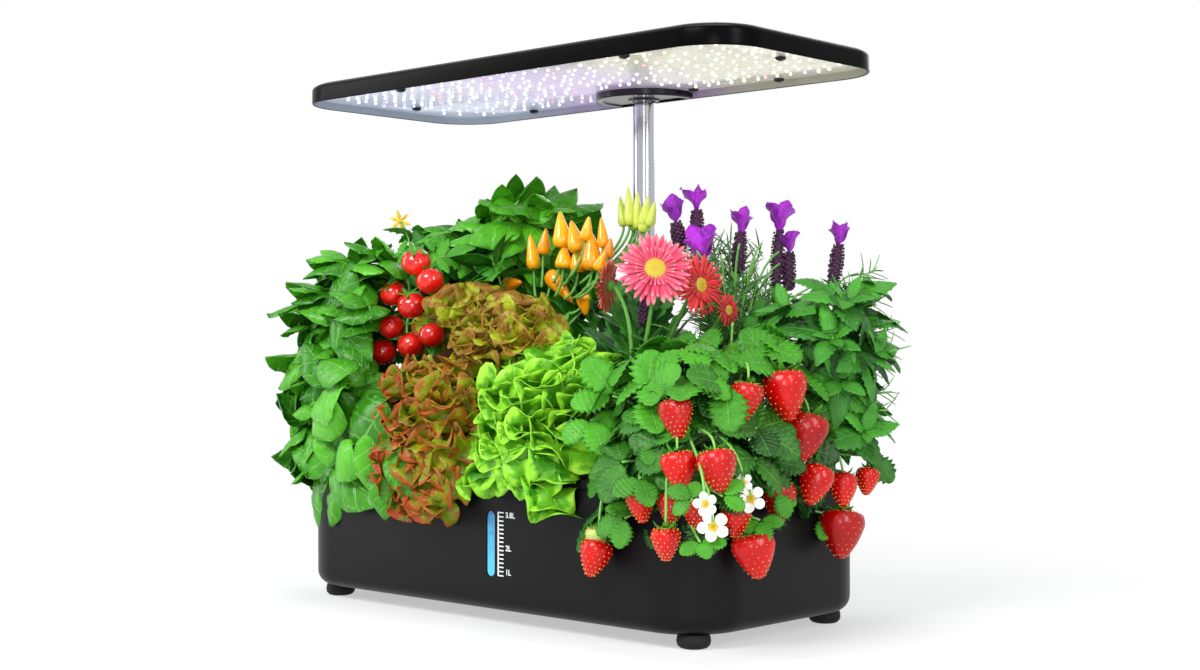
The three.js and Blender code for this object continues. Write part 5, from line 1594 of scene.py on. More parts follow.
# %% Tomato plant
def feather_leaf(bag, base, forward, up, length, rng, leaflets=3, tint=0.5):
    """A stalk with leaflets in pairs and one at its end."""
    forward = unit(forward)
    end = base + forward * length * 0.6 - UP * length * 0.08
    path = bezier(base, base + forward * length * 0.3 + UP * length * 0.1, end, 8)
    add_tube(bag, path, 1.0 * MM, 0.6 * MM, slot=1, tint=0.6)
    side = unit(np.cross(up, forward))
    rows = [(end, forward - UP * 0.2, up, length * 0.5, rng.uniform(0.3, 0.9), tint)]
    for j in range(leaflets):
        at = path[3 + int(j * 5 / leaflets)]
        for turn in (-1, 1):
            rows.append((at, side * turn + forward * 0.5, up + rng.normal(0, 0.15, 3),
                         length * rng.uniform(0.34, 0.46), rng.uniform(0.3, 1.0), shade_of(tint, rng)))
    return rows


tomato = Crown("05")
rng = np.random.default_rng(81)
bag = start_plant(tomato, slot=3)
rows = []
# The deeper layer of leaves gets a lower tint: painted shade.
for layer, (deep, shade) in enumerate(((10, 0.0), (24, -0.35))):
    for number, (point, outward) in enumerate(tomato.spots(27 * MM, 81 + layer)):
        at = point - outward * deep * MM
        ahead = around_axis(outward, rng.uniform(0, 2 * math.pi)) + 0.4 * outward - 0.3 * UP
        rows += feather_leaf(bag, at - unit(ahead) * 14 * MM, ahead, outward + 0.5 * UP,
                             rng.uniform(40, 54) * MM, rng, tint=rng.uniform(0.25, 0.75) + shade)
        if number % 4 == 0:
            add_stem(bag, tomato, at, 1.8, 0.7, 0.5)
add_leaves(bag, TOMATO, cleared(rows), 0, 82)
STAR_TURN = 1.257
TRUSS = ((412, 244), (407, 275), (411, 300), (407, 325), (404, 342))
truss_path = [seen_at(u, v, y=TRUSS_Y + 8) for u, v in TRUSS]
add_stem(bag, tomato, truss_path[0], 1.8, 0.8, 0.5)
add_tube(bag, truss_path, 1.3 * MM, 1.0 * MM, slot=1, tint=0.4)
BALL = [(math.sin(a), -0.9 * math.cos(a)) for a in np.linspace(0.2, math.pi - 0.35, 15)]
BALL = [(0, -0.9), *BALL, (0, 0.76)]
stars = []
for u, v, width in TOMATOES:
    middle = seen_at(u, v, y=TRUSS_Y + rng.uniform(-3, 3))
    radius = 0.5 * width * pixel_size(middle)
    aim = unit(UP + rng.normal(0, 0.25, 3))
    add_turned(bag, np.array(BALL) * radius, middle, aim, sides=32, slot=2, tint=rng.uniform(0.35, 0.8))
    stalk_at = middle + aim * radius * 0.8
    nearest = min(truss_path, key=lambda place: np.linalg.norm(place - stalk_at))
    add_tube(bag, bezier(nearest, (nearest + stalk_at) / 2 + UP * 4 * MM, stalk_at, 6), 0.9 * MM, 0.8 * MM,
             slot=1, tint=0.5)
    stars += [(stalk_at, around_axis(aim, k * STAR_TURN) + 0.2 * aim, aim, radius * 0.95,
               rng.uniform(-0.5, 0.7), 0.5)
              for k in range(5)]
add_leaves(bag, SEPAL, stars, 0, 83)
at = seen_at(*TOMATO_FLOWER, y=-10)
add_blossom(bag, at, towards_camera(at), 9 * MM, 6, 4, 4, rng, kind=SEPAL, disc=0.25)
add_stem(bag, tomato, at, 1.2, 0.8)
finish_plant(bag, tomato, "tomato",
             [tomato_leaf, stem_green, tomato_red, sponge, petal_yellow])


# %% Pepper plant
PEPPER_SHAPE = ((0, 0.0), (0.4, 0.02), (0.5, 0.13), (0.42, 0.4), (0.24, 0.74), (0.06, 0.97), (0, 1.0))


def add_peppers(bag, picks, plane, slot, rng, crown):
    for u, v, tip_u, tip_v, width in picks:
        depth = plane + rng.uniform(-5, 5)
        at, tip = seen_at(u, v, y=depth), seen_at(tip_u, tip_v, y=depth)
        length = np.linalg.norm(tip - at)
        profile = arc_profile(PEPPER_SHAPE, 14) * np.array([width * pixel_size(at), length])
        add_turned(bag, profile, at, tip - at, sides=18, slot=slot, tint=rng.uniform(0.2, 0.9),
                   wobble=lambda angle, share: 1 + 0.05 * np.cos(3 * angle))
        start = at + 0.35 * (crown.at(0, 0, 0.4) - at)
        stalk = bezier(start, at - UP * 14 * MM, at + (tip - at) * 0.02, 8)
        add_tube(bag, stalk, 1.2 * MM, 0.9 * MM, slot=1, tint=0.5)


pepper = Crown("06")
rng = np.random.default_rng(91)
bag = start_plant(pepper, slot=4)
grow_bush(bag, pepper, PEPPER, 38 * MM, 25 * MM, 92, 0.45, ((4, 1.0, 0.5), (3, 0.62, 1.2)), rise=0.9,
          highest=258 * MM)
add_peppers(bag, ORANGE_PEPPERS, PEPPER_Y, 2, rng, pepper)
add_peppers(bag, PALE_PEPPERS, PALE_Y, 3, rng, pepper)
finish_plant(bag, pepper, "pepper",
             [pepper_leaf, stem_green, pepper_orange, pepper_pale, sponge])


# %% [markdown]
# ## Gerbera
#
# Four gerbera heads look out over the middle: a wide pink one, a red one half behind it, a small red
# one and a salmon one seen from behind. Rings of narrow petals stand round a disc of beads.

# %% Gerbera plant
GERBERA_CUP = ((0, 0.0), (0.2, 0.02), (0.22, 0.1), (0.12, 0.24), (0, 0.28))
gerbera = Crown("07")
rng = np.random.default_rng(101)
bag = start_plant(gerbera, slot=2)
rows = []
# Each deeper layer of leaves gets a lower tint: painted shade.
for layer, (deep, shade) in enumerate(((0.5, 0.0), (0.8, -0.35), (1.2, -0.3), (1.6, -0.2))):
    for point, outward in gerbera.spots(19 * MM, 101 + layer):
        length = rng.uniform(40, 56) * MM
        ahead = unit(outward + 0.7 * UP + rng.normal(0, 0.2, 3))
        rows.append((point - ahead * length * deep, ahead,
                     UP * 0.6 + towards_camera(point) * 0.3 - outward * 0.2, length,
                     rng.uniform(0.3, 1.0), shade_of(0.5 + shade, rng)))
add_leaves(bag, GERBERA, cleared(rows), 0, 102)
beads = []
for u, v, width, petal_slot, (turn, tilt), plane, petals, disc_pixels in GERBERAS:
    at = seen_at(u, v, y=plane)
    radius = width * pixel_size(at)
    ahead = towards_camera(at)
    across = unit(np.cross(UP, ahead))
    facing = unit(math.cos(turn) * ahead + math.sin(turn) * across + tilt * UP)
    add_blossom(bag, at, facing, radius, petals, petal_slot, 3, rng, kind=PETAL,
                rings=((1.0, 0.05), (0.88, 0.2), (0.55, 0.5)), disc=disc_pixels / width, beads=beads)
    add_turned(bag, arc_profile(GERBERA_CUP, 8) * radius, at, -facing, sides=18, slot=1, tint=0.2)
    neck = at - facing * 0.24 * radius
    add_tube(bag, bezier(gerbera.foot, neck - facing * 24 * MM - UP * 26 * MM, neck, 14), 1.7 * MM, 1.4 * MM,
             sides=8, slot=1)
gerbera_materials = [gerbera_leaf, stem_green, sponge, disc_yellow, petal_white, petal_pink, petal_red,
                     petal_salmon]
finish_plant(bag, gerbera, "gerbera", gerbera_materials)
piece("gerbera_florets", scatter("gerbera_florets", bead_shape, beads, disc_yellow, 1.1 * MM), "pod_07")


# %% [markdown]
# ## Lavender and mint
#
# Lavender carries dark spikes of tight florets with a tuft of violet bracts on top. Mint is a bush like
# basil, but toothed and flatter. Needle sprigs stand at the right edge behind it.

# %% Lavender plant
BRACT = leaf_kind(ratio=0.56, widest=0.64, fullness=0.6, cup=0.7, ruffle=0.08, waves=1.5, pairs=2, along=8,
                  across=6)
SPIKE_SHAPE = ((0, 0), (0.75, 0.04), (1.0, 0.3), (0.95, 0.7), (0.6, 0.96), (0, 1.0))
SPIKE_RADIUS = 4.6 * MM
SPIKE_FLORETS = 84
SPRIGS = ((866, 290), (880, 300), (888, 330), (884, 360), (892, 392), (876, 270), (850, 275), (896, 350),
          (888, 410))


def add_spike(bag, florets, foot, top, tuft, rng):
    """One spike from its foot to its top, with a tuft of bracts above."""
    height = np.linalg.norm(top - foot)
    axis = unit(top - foot)
    profile = arc_profile(SPIKE_SHAPE, 10) * np.array([0.8 * SPIKE_RADIUS, height])
    add_turned(bag, profile, foot, axis, sides=12, slot=3, tint=0.2)
    for k in range(SPIKE_FLORETS):
        share = (k + 0.5) / SPIKE_FLORETS
        outward = around_axis(axis, k * GOLDEN_ANGLE)
        radius = SPIKE_RADIUS * math.sin(math.pi * (0.12 + 0.78 * share)) ** 0.4
        florets.append((foot + outward * radius + axis * share * height, unit(outward + 0.9 * axis),
                        rng.uniform(0.8, 1.3), rng.uniform(0, 1)))
    rows = []
    for k in range(4 if tuft else 0):
        outward = around_axis(axis, k * 1.7 + rng.uniform(-0.3, 0.3))
        rows.append((top - axis * 1 * MM, axis + outward * rng.uniform(0.3, 0.75), outward,
                     tuft * rng.uniform(0.95, 1.25), rng.uniform(-0.6, 0.6), rng.uniform(0.2, 0.9)))
    return rows


def needle_sprig(bag, path, rng, length=16 * MM, step=2.4 * MM):
    add_tube(bag, path, 1.1 * MM, 0.7 * MM, slot=1, tint=0.4)
    total = np.linalg.norm(np.diff(path, axis=0), axis=1).sum()
    heading = unit(np.gradient(path, axis=0))
    rows = []
    count = int(total * 0.75 / step)
    for k in range(count):
        share = 0.25 + 0.75 * (k + 0.5) / count
        place = min(int(share * (len(path) - 1)), len(path) - 2)
        at = path[place] + (path[place + 1] - path[place]) * (share * (len(path) - 1) - place)
        outward = around_axis(heading[place], k * GOLDEN_ANGLE)
        rows.append((at, outward + heading[place] * rng.uniform(0.7, 1.3), heading[place],
                     length * rng.uniform(0.8, 1.15), 0.3, rng.uniform(0.1, 0.9)))
    return rows


lavender = Crown("11")
rng = np.random.default_rng(111)
bag = start_plant(lavender, slot=2)
florets, bracts, needles = [], [], []
for top_u, top_v, foot_u, foot_v, tuft, x in SPIKES:
    foot, top = seen_at(foot_u, foot_v, x=x), seen_at(top_u, top_v, x=x)
    add_stem(bag, lavender, foot, 1.2, 0.9)
    bracts += add_spike(bag, florets, foot, top, tuft * pixel_size(top), rng)
for point, outward in lavender.spots(17 * MM, 112, highest=266 * MM):
    needles += needle_sprig(bag, stem_path(lavender, point - outward * 8 * MM, 0.8, 10), rng, 19 * MM)
add_leaves(bag, NEEDLE, cleared(needles), 0, 112)
add_leaves(bag, BRACT, bracts, 4, 113)
finish_plant(bag, lavender, "lavender",
             [needle_leaf, stem_green, sponge, floret_dark, bract_violet])
piece("lavender_florets", scatter("lavender_florets", bead_shape, florets, floret_dark, 2.4 * MM), "pod_11")


# %% Mint plant
mint = Crown("12")
rng = np.random.default_rng(121)
bag = start_plant(mint, slot=2)
grow_bush(bag, mint, MINT, 36 * MM, 26 * MM, 122, 0.5, ((4, 1.0, 0.3), (4, 0.6, 0.9)), droop=(0.2, 0.8),
          highest=244 * MM)
needles = []
for u, v in SPRIGS:
    needles += needle_sprig(bag, stem_path(mint, seen_at(u, v, y=rng.uniform(70, 96)), 0.8, 12), rng, 15 * MM)
add_leaves(bag, NEEDLE, cleared(needles), 3, 123)
finish_plant(bag, mint, "mint", [mint_leaf, stem_green, sponge, needle_leaf])
print("plants:", sum(plant_count.values()), "triangles")


# %% [markdown]
# ## Rounding a CAD piece
#
# Most hard pieces already have the right shape, but their edges are knife-sharp and catch no light.
# A CAD node is never changed, so a copy is merged, its coplanar triangles are joined, and a Bevel
# modifier rounds what is sharper than 30 degrees. The copy then stands for the node.

# %% A copy with soft edges
def refined(name, body, finish, edge=0.4 * MM, angle=30):
    work = bmesh.new()
    work.from_mesh(bpy.data.objects[name].data)
    bmesh.ops.remove_doubles(work, verts=work.verts, dist=MERGE_DISTANCE)
    bmesh.ops.dissolve_limit(work, angle_limit=math.radians(0.5), verts=work.verts, edges=work.edges)
    mesh = bpy.data.meshes.new(name + "_soft_edges")
    work.to_mesh(mesh)
    work.free()
    holder = linked("holder", mesh)
    bevel = holder.modifiers.new("edges", "BEVEL")
    bevel.width = edge
    bevel.segments = 2
    bevel.limit_method = "ANGLE"
    bevel.angle_limit = math.radians(angle)
    result = baked(holder, name + "_soft_edges")
    result.materials.clear()
    result.materials.append(finish)
    result.polygons.foreach_set("use_smooth", np.full(len(result.polygons), True))
    result.set_sharp_from_angle(angle=math.radians(angle))
    return piece(name + "_soft_edges", result, body, [name])


soft_edged = (
    ("grow_deck", "deck", satin_finish, "deck_plastic", 0.5),
    ("water_lid", "lid", satin_finish, "deck_plastic", 0.4),
    ("control_housing", "deck", gloss_finish, "gloss_black_plastic", 0.3),
    ("power_inlet", "deck", satin_finish, "deck_plastic", 0.2),
)
for name, body, finish, slot, edge in soft_edged:
    made = refined(name, body, finish, edge * MM)
    print(made.name, len(made.data.polygons), "faces")


# %% [markdown]
# ## Window, litre scale and feet
#
# A clear blue strip is pressed into its slot from inside, and shows the water level. Its colour runs
# from a deep blue at the top to a bright one at the foot. The scale beside it is printed in
# white: a bar, a tick for each step, and three plain numbers. The four rubber feet are turned.

# %% Turned pieces
def ring_loop(profile, centre, sides=72):
    """A closed skin of rings, for tubes and collars: profile is a loop of (radius, z)."""
    return skin([circle_ring(radius, z, sides, centre) for radius, z in profile], looped=True)


def ring_piece(name, profile, centre, body, finish, replaces, sides=72):
    bag = Bag()
    bag.add(*ring_loop(profile, centre, sides))
    return piece(name, recalculated(bag.mesh(name, [finish], sharp=35)), body, replaces)


FOOT_SHAPE = ((0, 0), (0.6, 0), (0.8, 0.07), (0.95, 0.25), (1.0, 0.5), (0.97, 0.78), (0.9, 0.985), (0, 0.985))
for place in ("front_left", "front_right", "rear_left", "rear_right"):
    low, high = box_of("foot_" + place)
    stands_at = np.array([*((low + high) / 2)[:2], 0])
    foot_size = np.array([(high[0] - low[0]) / 2, tank_low[2]])
    bag = Bag()
    add_turned(bag, np.array(FOOT_SHAPE) * foot_size, stands_at, UP, sides=64, slot=0)
    foot_mesh = bag.mesh("rubber_foot_" + place, [rubber_finish], sharp=50)
    piece("rubber_foot_" + place, foot_mesh, "tank", ["foot_" + place])


# %% Sight window
def window_finish():
    material, tree = new_material("blue_window")
    place = object_place(tree)
    split = split_axes(tree, place)
    ripple = noise(tree, place, 420.0, 3.0)
    height = node(tree, "ShaderNodeMapRange",
                  {"Value": split["Z"], "From Min": window_low[2],
                   "From Max": window_high[2]}).outputs["Result"]
    color = mix_colors(tree, calc(tree, "+", height, swing(tree, ripple, 0.7), clamp=True), rgb("45bdf0"),
                       rgb("1c6d9c"))
    beside = calc(tree, "ABSOLUTE", calc(tree, "-", split["X"], WINDOW_X))
    rim = smooth_step(tree, beside, 0.36 * WINDOW_WIDTH, 0.5 * WINDOW_WIDTH)
    color = mix_colors(tree, calc(tree, "*", rim, 0.45), color, rgb("a9dcf2"))
    rough = between(tree, ripple, 0.08, 0.22)
    # The emission gives the window a faint painted glow: the strip is no lamp.
    add_principled(tree, Base_Color=color, Roughness=rough, Coat_Weight=0.4, Coat_Roughness=0.06,
                   Emission_Color=color, Emission_Strength=0.12, Normal=bump(tree, ripple, 0.25, 0.0001))
    return material


WINDOW_ROUND = 0.7 * MM
inner_wall = FRONT + TANK_WALL + SEAT_GAP
bag = Bag()
face_rings = rounded_edge(lambda inset, y: pill_ring(-inset, y), WINDOW_ROUND, window_low[1], 4)
bag.add(*skin(face_rings + [pill_ring(0, inner_wall), pill_ring(WINDOW_FLANGE, inner_wall),
                            pill_ring(WINDOW_FLANGE, window_high[1])]))
window_mesh = recalculated(bag.mesh("blue_sight_window", [window_finish()], sharp=40))
piece("blue_sight_window", window_mesh, "tank", ["sight_window"])
print("window faces:", len(window_mesh.polygons))


# %% Litre scale
def print_finish():
    material, tree = new_material("white_print")
    effect = place_group(tree, grain_group, Grain_size=0.0003, Cloud_size=0.01)
    color = mix_colors(tree, effect.outputs["Cloud"], rgb("e4e4e4"), rgb("f8f8f8"))
    add_principled(tree, Base_Color=color, Roughness=0.55,
                   Normal=bump(tree, effect.outputs["Height"], 0.2, 0.00002))
    return material


PRINT_DEPTH = 0.12 * MM
SCALE_Z = (34.1 * MM, 77.6 * MM)
SCALE_X = WINDOW_X + WINDOW_WIDTH / 2 + 3.4 * MM
BAR_WIDTH = 1.1 * MM
TICK_LENGTH = 4.6 * MM
TICK_HEIGHT = 0.8 * MM
TICKS = 16
TEXT_SIZE = 5.4 * MM
TEXT_WEIGHT = 0.06 * MM
NUMBER_X = SCALE_X + BAR_WIDTH + TICK_LENGTH + 1.8 * MM
SCALE_NUMBERS = (("3.8L", 74.0), ("2L", 51.6), ("1L", 35.4))


def wall_plate(bag, low_x, high_x, low_z, high_z):
    y = (FRONT - PRINT_DEPTH, FRONT + PRINT_DEPTH)
    rings = [np.array([(low_x, at, low_z), (high_x, at, low_z), (high_x, at, high_z), (low_x, at, high_z)])
             for at in y]
    bag.add(*skin(rings))


white_print = print_finish()
bag = Bag()
wall_plate(bag, SCALE_X, SCALE_X + BAR_WIDTH, SCALE_Z[0], SCALE_Z[1])
for z in np.linspace(SCALE_Z[0], SCALE_Z[1] - TICK_HEIGHT, TICKS):
    wall_plate(bag, SCALE_X + BAR_WIDTH, SCALE_X + BAR_WIDTH + TICK_LENGTH, z, z + TICK_HEIGHT)
scale_mesh = recalculated(bag.mesh("litre_scale", [white_print], smooth=False), merge=0)
piece("litre_scale", scale_mesh, "tank")
for text, z in SCALE_NUMBERS:
    curve = bpy.data.curves.new("scale_number", "FONT")
    curve.body = text
    curve.size = TEXT_SIZE
    curve.extrude = PRINT_DEPTH
    curve.offset = TEXT_WEIGHT
    name = "scale_number_" + text.replace(".", "_")
    mesh = baked(linked("letters", curve), name)
    spots = np.empty(len(mesh.vertices) * 3)
    mesh.vertices.foreach_get("co", spots)
    across, upward, outward = spots.reshape(-1, 3).T
    on_wall = np.stack([NUMBER_X + across, FRONT - outward, z * MM + upward], axis=1)
    mesh.vertices.foreach_set("co", on_wall.ravel())
    mesh.materials.clear()
    mesh.materials.append(white_print)
    piece(name, recalculated(mesh), "tank")
print("scale from", SCALE_Z[0], "to", SCALE_Z[1])


# %% [markdown]
# ## Mast, collar and buttons
#
# The mast is two polished tubes, one sliding in the other, with a clamping collar at the joint. Their
# CAD forms have 20 sides, so each is turned again with 72. The two keys on the housing are domed.

# %% Mast
def tube_piece(name, body, wall, lip=0.25 * MM):
    low, high = box_of(name)
    centre = ((low + high) / 2)[:2]
    outer = (high[0] - low[0]) / 2
    profile = [(outer - wall, low[2] + lip), (outer - wall / 2, low[2]), (outer, low[2] + lip),
               (outer, high[2] - lip), (outer - wall / 2, high[2]), (outer - wall, high[2] - lip)]
    return ring_piece(name + "_round", profile, centre, body, tube_finish, [name])


TUBE_WALL = 0.9 * MM
tube_piece("mast_outer_tube", "deck", TUBE_WALL)
tube_piece("mast_inner_tube", "lamp_head", TUBE_WALL)
collar_low, collar_high = box_of("mast_collar")
tube_low, tube_high = box_of("mast_outer_tube")
mast_centre = ((collar_low + collar_high) / 2)[:2]
collar_outer = (collar_high[0] - collar_low[0]) / 2
sleeve = (tube_high[0] - tube_low[0]) / 2 + SEAT_GAP
bore = sleeve - SEAT_GAP - TUBE_WALL
collar_round = 1.2 * MM
groove = 0.4 * MM
collar_profile = [(sleeve, collar_low[2]), (collar_outer - 0.4 * MM, collar_low[2]),
                  (collar_outer, collar_low[2] + 0.4 * MM)]
for share in (0.25, 0.4, 0.55):
    z = collar_low[2] + share * (collar_high[2] - collar_low[2])
    collar_profile += [(collar_outer, z), (collar_outer - groove, z + groove),
                       (collar_outer - groove, z + 2 * groove), (collar_outer, z + 3 * groove)]
collar_profile += [(collar_outer - collar_round * (1 - math.cos(a)),
                    collar_high[2] - collar_round * (1 - math.sin(a)))
                   for a in quarter(4)]
collar_profile += [(bore, collar_high[2]), (bore, tube_high[2] + SEAT_GAP), (sleeve, tube_high[2] + SEAT_GAP)]
ring_piece("clamping_collar", collar_profile, mast_centre, "deck", satin_finish,
           ["mast_collar"])
print("collar rings:", len(collar_profile))


# %% Buttons
KEY_FLANGE = 1.4 * MM
KEY_STEM = 2.4 * MM
flange_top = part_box("control_housing")[1][2] - 2.5 * MM
for name, body in (("light_button", "light_key"), ("pump_button", "pump_key")):
    low, high = box_of(name)
    key_centre = ((low + high) / 2)[:2]
    flange = (high[0] - low[0]) / 2
    key = flange - KEY_FLANGE
    top = high[2]
    dish = [(0, top - 0.5 * MM), (0.5 * key, top - 0.4 * MM), (key - 0.9 * MM, top),
            (key - 0.3 * MM, top - 0.2 * MM),
            (key, top - 0.9 * MM), (key, flange_top), (flange, flange_top), (flange, flange_top - KEY_FLANGE),
            (KEY_STEM, flange_top - KEY_FLANGE), (KEY_STEM, low[2]), (0, low[2])]
    bag = Bag()
    add_turned(bag, np.array(dish)[::-1], np.array([*key_centre, 0]), UP, sides=48, slot=0)
    piece(name + "_cap", bag.mesh(name + "_cap", [key_finish], sharp=35), body, [name])
    print(name, "cap", round(2 * key / MM, 1), "mm wide")


# %% [markdown]
# ## Lamp head
#
# The lamp is a shallow upturned tray. Under its rounded shoulder the side is a plain band, and a
# silvery board with many small light chips is screwed up into it. The chips, and the eight
# black screws, are set by the scatter tree. The light of the chips on the board is painted: a painted
# reflection in its colour, cool on the left, violet at the hub and warm on the right, and a faint painted
# glow. The inside of the rim gets the same painted reflection and glow.

# %% Lamp shell
shell_low, shell_high = box_of("lamp_shell")
LAMP_WIDTH, LAMP_DEPTH = (shell_high - shell_low)[:2]
LAMP_CENTRE = tuple(((shell_low + shell_high) / 2)[:2])
LAMP_CORNER = 40 * MM
LAMP_WALL = 2.4 * MM
LAMP_BAND = 10 * MM
SHOULDER_INSET = 15 * MM
SHOULDER_RISE = shell_high[2] - shell_low[2] - LAMP_BAND
LAMP_LIP = 0.8 * MM


def lamp_ring(inset, z):
    return rounded_ring(LAMP_WIDTH - 2 * inset, LAMP_DEPTH - 2 * inset, LAMP_CORNER - inset, z, 24,
                        LAMP_CENTRE)


def lamp_shoulder(wall, steps=10):
    start = shell_low[2] + LAMP_BAND - wall
    return [lamp_ring(wall + SHOULDER_INSET * (1 - math.cos(a)), start + SHOULDER_RISE * math.sin(a))
            for a in quarter(steps)]


def painted_reflection_color(tree, axis_value, left, middle_color, right):
    """Painted reflection of the chips' light, left to right along the lamp: cool, violet at the hub, warm."""
    half = LAMP_WIDTH / 2
    first = smooth_step(tree, axis_value, -0.75 * half, -0.05 * half)
    second = smooth_step(tree, axis_value, 0.0, 0.5 * half)
    return mix_colors(tree, second, mix_colors(tree, first, rgb(left), rgb(middle_color)), rgb(right))


# A surface with the chips' light painted on: a painted reflection in its colour, cool to violet to warm, and
# a painted glow by its emission.
def painted_light_finish(name, left, middle_color, right, emission, roughness, metallic, traces=0.0):
    material, tree = new_material(name)
    place = object_place(tree)
    split = split_axes(tree, place)
    cloud = noise(tree, place, 60.0, 4.0)
    color = painted_reflection_color(tree, calc(tree, "+", split["X"], swing(tree, cloud, 0.12)), left, middle_color, right)
    lanes = node(tree, "ShaderNodeTexVoronoi", {"Vector": place, "Scale": 95.0}, feature="DISTANCE_TO_EDGE")
    lane = calc(tree, "-", 1.0, smooth_step(tree, lanes.outputs["Distance"], 0.02, 0.07))
    color = mix_colors(tree, calc(tree, "*", lane, traces), color, rgb("8d8f9c"))
    rough = between(tree, cloud, roughness - 0.06, roughness + 0.1)
    add_principled(tree, Base_Color=color, Metallic=metallic, Roughness=rough, Emission_Color=color,
                   Emission_Strength=emission, Normal=bump(tree, lane, 0.3, 0.00005))
    return material


# The board is silvery with the chips' light painted on; the inside of the rim carries only the painted light.
board_with_painted_light = painted_light_finish("silver_board_painted_light", "bcc4da", "c4b2dc", "cfceba", 0.3, 0.22, 0.5, traces=0.3)
rim_light_paint = painted_light_finish("inner_rim_painted_light", "949cab", "8a729c", "929184", 0.14, 0.4, 0.0)
outside = rounded_edge(lamp_ring, LAMP_LIP, shell_low[2], 3)
inside = [lamp_ring(LAMP_WALL, shell_low[2] + LAMP_LIP / 2)]
bag = Bag()
bag.add(*skin(lamp_shoulder(LAMP_WALL)[::-1] + inside + outside + lamp_shoulder(0)))
shell_mesh = recalculated(bag.mesh("lamp_tray", [gloss_finish, rim_light_paint], sharp=50))
# The inward faces of the rim take the painted reflection and glow.
for polygon in shell_mesh.polygons:
    inward = Vector(LAMP_CENTRE) - polygon.center.xy
    if abs(polygon.normal.z) < 0.5 and polygon.normal.xy.dot(inward) > 0:
        polygon.material_index = 1
piece("lamp_tray", shell_mesh, "lamp_head", ["lamp_shell"])
refined("led_board", "lamp_head", board_with_painted_light, 0.2 * MM)
board_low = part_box("led_board")[0][2]
print("lamp faces:", len(shell_mesh.polygons))


# %% Light chips
def chip_finish(name, color, strength):
    material, tree = new_material(name)
    tone = mix_colors(tree, noise(tree, object_place(tree), 90.0, 1.0), rgb(color), (1, 1, 1, 1))
    add_principled(tree, Base_Color=tone, Roughness=0.3, Emission_Color=tone, Emission_Strength=strength)
    return material


CHIP_RADIUS = 1.35 * MM
CHIP_MARGIN = (44 * MM, 24 * MM)
CHIP_SHIFT = 2 * MM
CORNER_ROOM = (32 * MM, 26 * MM)
HUB_ROOM = 44 * MM
SCREW_ROOM = 8 * MM
CHIP_SHARE = 0.86
chip_shape = turned_shape("chip", [(0, 0), (1.0, 0), (1.0, 0.1), (0.85, 0.5), (0.5, 0.85), (0, 0.95)], 8)
CHIP_COLUMNS = 36
CHIP_ROWS = 11
CHIP_KINDS = {
    "cool_chip": ("e9f0ff", 1.3), "warm_chip": ("fff2b4", 1.3),
    "red_chip": ("f02860", 0.9), "blue_chip": ("6c5cf0", 0.9),
}
hub_low, hub_high = box_of("lamp_hub")
SCREWS = [f"lamp_screw_{i}" for i in range(1, 9)]
screw_places = [sum(box_of(name)) / 2 for name in SCREWS]
rng = np.random.default_rng(5)
chips = {kind: [] for kind in CHIP_KINDS}
for row in range(CHIP_ROWS):
    for column in range(CHIP_COLUMNS):
        x = ((column + 0.5 * (row % 2)) / (CHIP_COLUMNS - 0.5) - 0.5) * (LAMP_WIDTH - CHIP_MARGIN[0])
        x += rng.uniform(-CHIP_SHIFT, CHIP_SHIFT)
        y = LAMP_CENTRE[1] + ((row + 0.5) / CHIP_ROWS - 0.5) * (LAMP_DEPTH - CHIP_MARGIN[1])
        y += rng.uniform(-CHIP_SHIFT, CHIP_SHIFT)
        draw = rng.uniform()
        from_side = (LAMP_WIDTH / 2 - abs(x), LAMP_DEPTH / 2 - abs(y - LAMP_CENTRE[1]))
        in_corner = from_side[0] < CORNER_ROOM[0] and from_side[1] < CORNER_ROOM[1]
        on_hub = abs(x) < HUB_ROOM and y > hub_low[1] - 5 * MM
        near_screw = min(math.hypot(x - s[0], y - s[1]) for s in screw_places) < SCREW_ROOM
        if in_corner or on_hub or near_screw or draw > CHIP_SHARE:
            continue
        plain = "cool_chip" if x + rng.uniform(-30, 30) * MM < 20 * MM else "warm_chip"
        kind = "red_chip" if draw < 0.12 else "blue_chip" if draw < (0.24 if x < 0 else 0.13) else plain
        chips[kind].append((np.array([x, y, board_low - 0.05 * MM]), -UP, rng.uniform(0.85, 1.1), 0.5))
for kind, (color, strength) in CHIP_KINDS.items():
    mesh = scatter(kind + "s", chip_shape, chips[kind], chip_finish(kind, color, strength), CHIP_RADIUS)
    piece(kind + "s", mesh, "lamp_head")
print("light chips:", sum(len(rows) for rows in chips.values()))


# %% Screws
SCREW_RADIUS = 3.9 * MM
SCREW_SHAPE = (
    (0, -1.8), (0.38, -1.7), (0.4, 0.0), (1.0, 0.02), (0.96, 0.25),
    (0.8, 0.5), (0.5, 0.62), (0.34, 0.5), (0.3, 0.15), (0, 0.15),
)
screw_shape = turned_shape("screw", SCREW_SHAPE, 20)
screws = [(np.array([s[0], s[1], board_low - 0.3 * MM]), -UP, 1.0, 0.5) for s in screw_places]
screw_mesh = scatter("lamp_screws", screw_shape, screws, screw_finish, SCREW_RADIUS)
piece("lamp_screws", screw_mesh, "lamp_head", SCREWS)
print("screws:", len(SCREWS))


# %% Hub
HUB_HALF = (hub_high[0] - hub_low[0]) / 2
HUB_ROUND = 1.4 * MM
hub_bottom = hub_low[2]
hub_rear = LAMP_CENTRE[1] + LAMP_DEPTH / 2 - LAMP_WALL - SEAT_GAP


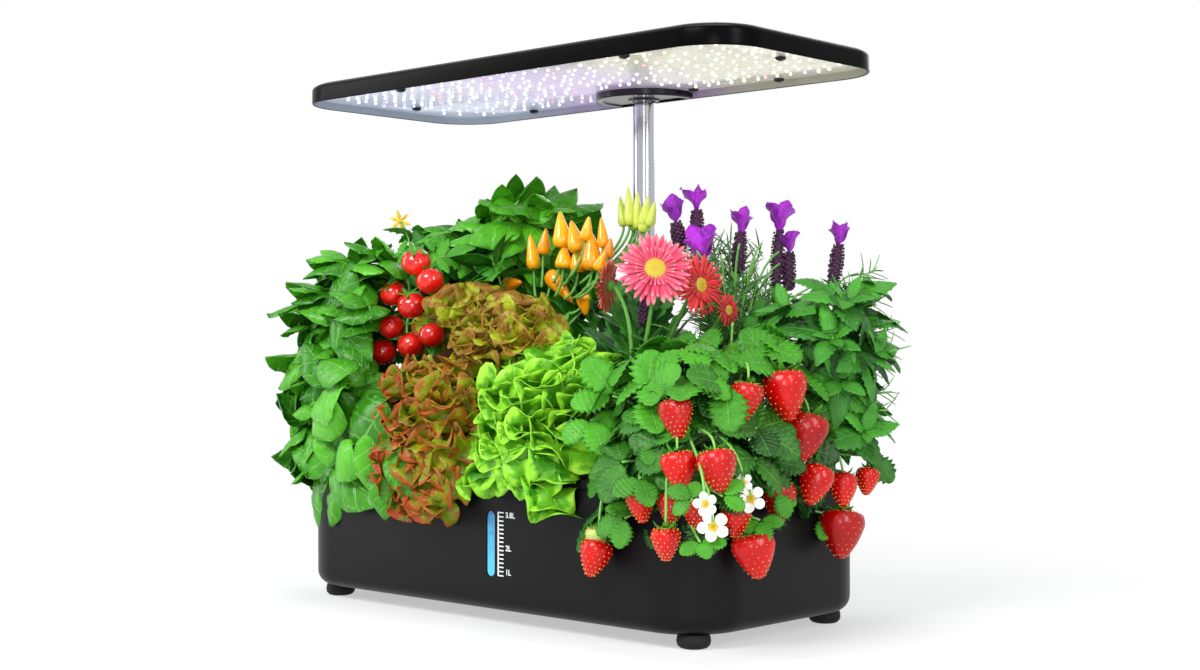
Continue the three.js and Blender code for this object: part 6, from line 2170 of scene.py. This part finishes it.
def hub_ring(inset, z, steps=48):
    turn = np.linspace(math.pi, 2 * math.pi, steps + 1)
    centre_y = hub_low[1] + HUB_HALF
    x = np.concatenate([[-HUB_HALF + inset], (HUB_HALF - inset) * np.cos(turn), [HUB_HALF - inset]])
    y = np.concatenate([[hub_rear], centre_y + (HUB_HALF - inset) * np.sin(turn), [hub_rear]])
    return np.stack([x, y, np.full_like(x, z)], axis=1)


bag = Bag()
HUB_STEPS = ((5.5, 1.0), (5.0, 0.2), (4.6, 0))
steps = [hub_ring(inset * MM, hub_bottom + rise * MM) for inset, rise in HUB_STEPS]
edge = rounded_edge(hub_ring, HUB_ROUND, hub_bottom, 5)
bag.add(*skin(steps + edge + [hub_ring(0, board_low - SEAT_GAP)]))
pole_outer = sleeve - SEAT_GAP
pole_ring = [(pole_outer - 0.4 * MM, hub_bottom + 2 * MM), (pole_outer - 0.4 * MM, hub_bottom),
             (pole_outer + 1.4 * MM, hub_bottom - 0.1 * MM),
             (pole_outer + 2.4 * MM, hub_bottom + 0.3 * MM), (pole_outer + 2.8 * MM, hub_bottom + 2 * MM)]
bag.add(*ring_loop(pole_ring, mast_centre))
hub_mesh = recalculated(bag.mesh("hub_plate", [hub_finish], sharp=35))
piece("hub_plate", hub_mesh, "lamp_head", ["lamp_hub"])
print("hub", round(2 * HUB_HALF / MM), "mm wide")


# %% [markdown]
# ## Last finishes
#
# The pieces that keep their CAD shape get their materials now: the window's gasket, the baskets, the
# pin and, inside the tank, the pump with its lead. They are out of sight until the deck is lifted.

# %% Finishes for the carried-over pieces
board_green = plastic("circuit_board_green", "0f3d22", "1a5a34", 0.4, grain=0.002, coat=0.3)
lead_finish = plastic("lead_sheath", "151516", "202022", 0.55, grain=0.0005)
FINISH_OF = {
    "window_gasket": rubber_finish, "lid_hinge_pin": tube_finish, "control_board": board_green,
    "pump_cradle": satin_finish, "pump_body": tank_finish, "pump_cover": satin_finish, "impeller": key_finish,
    "pump_lead": lead_finish,
}
FINISH_OF.update({f"net_basket_{pod}": satin_finish for pod in CROWN_OF_POD})
for name, finish in FINISH_OF.items():
    slots = bpy.data.objects[name].data.materials
    slots.clear()
    slots.append(finish)
print("carried over:", len(FINISH_OF), "nodes")
